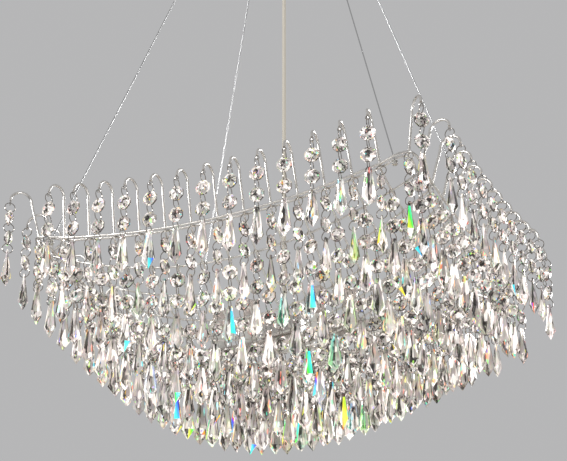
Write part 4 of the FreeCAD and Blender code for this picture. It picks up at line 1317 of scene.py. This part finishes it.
class PENDANT_OT_stage(bpy.types.Operator):
    """Lay the pale floor and set the soft lights round the light fitting"""
    bl_idname = "pendant.stage"
    bl_label = "Floor and lights"

    def softbox(self, name, place, power):
        bpy.ops.object.light_add(type="AREA", location=place)
        lamp = bpy.context.object
        lamp.name = name
        lamp.data.shape = "SQUARE"
        lamp.data.size = LIGHT_SIDE
        lamp.data.energy = power
        lamp.rotation_euler = (Vector(LIGHT_TARGET) - Vector(place)).to_track_quat("-Z", "Y").to_euler()

    def floor(self):
        stage = stage_sizes()
        bpy.ops.mesh.primitive_plane_add(size=stage.floor_size, location=(0, 0, stage.floor_height))
        floor = named("floor")
        material, tree, shader = new_material("pale_floor")
        feed(tree, shader, {"Base Color": finishes().floor, "Roughness": 0.9})
        floor.data.materials.append(material)

    def flag(self, name, place, size, turn):
        """A dark card beside the set, which gives the crystals their dark facets."""
        bpy.ops.mesh.primitive_plane_add(size=1, location=place, rotation=(math.pi / 2, 0, turn))
        bpy.context.object.scale = (*size, 1)
        card = named(name)
        material, tree, shader = new_material(f"{name}_card")
        feed(tree, shader, {"Base Color": (0.01, 0.01, 0.01, 1)})
        card.data.materials.append(material)
        card.visible_camera = card.visible_shadow = card.visible_diffuse = False

    def world(self):
        world = bpy.data.worlds.new("studio")
        bpy.context.scene.world = world
        world.use_nodes = True
        tree = world.node_tree
        feed(tree, tree.nodes["Background"], {"Color": finishes().backdrop, "Strength": 1.0})

    def execute(self, context):
        context.scene.view_settings.view_transform = "Standard"
        self.floor()
        self.world()
        for light in LIGHTS:
            self.softbox(*light)
        for flag in FLAGS:
            self.flag(*flag)
        return {"FINISHED"}


class PENDANT_PT_panel(bpy.types.Panel):
    """Lists the steps that build the pendant light"""
    bl_label = "Pendant light"
    bl_idname = "PENDANT_PT_panel"
    bl_space_type = "VIEW_3D"
    bl_region_type = "UI"
    bl_category = "Pendant light"

    def draw(self, context):
        for step in STEPS:
            self.layout.operator(step.bl_idname)
        for name in PROPERTY_GROUPS:
            group = getattr(context.scene, name)
            box = self.layout.box()
            for key in group.bl_rna.properties.keys():
                if key not in ("rna_type", "name"):
                    box.prop(group, key)


STEPS = (PENDANT_OT_camera, PENDANT_OT_cords, PENDANT_OT_grid, PENDANT_OT_hooks, PENDANT_OT_grid_strands,
         PENDANT_OT_hook_strands, PENDANT_OT_canopy, PENDANT_OT_lamps, PENDANT_OT_stage)


def register():
    for kind in (*PROPERTY_GROUPS.values(), *STEPS, PENDANT_PT_panel):
        bpy.utils.register_class(kind)
    for name, kind in PROPERTY_GROUPS.items():
        setattr(bpy.types.Scene, name, bpy.props.PointerProperty(type=kind))


def unregister():
    for name in PROPERTY_GROUPS:
        delattr(bpy.types.Scene, name)
    for kind in reversed((*PROPERTY_GROUPS.values(), *STEPS, PENDANT_PT_panel)):
        bpy.utils.unregister_class(kind)


def main():
    register()
    MATERIALS.update(build_materials())
    for step in STEPS:
        area, name = step.bl_idname.split(".")
        getattr(getattr(bpy.ops, area), name)()


if __name__ == "__main__":
    main()
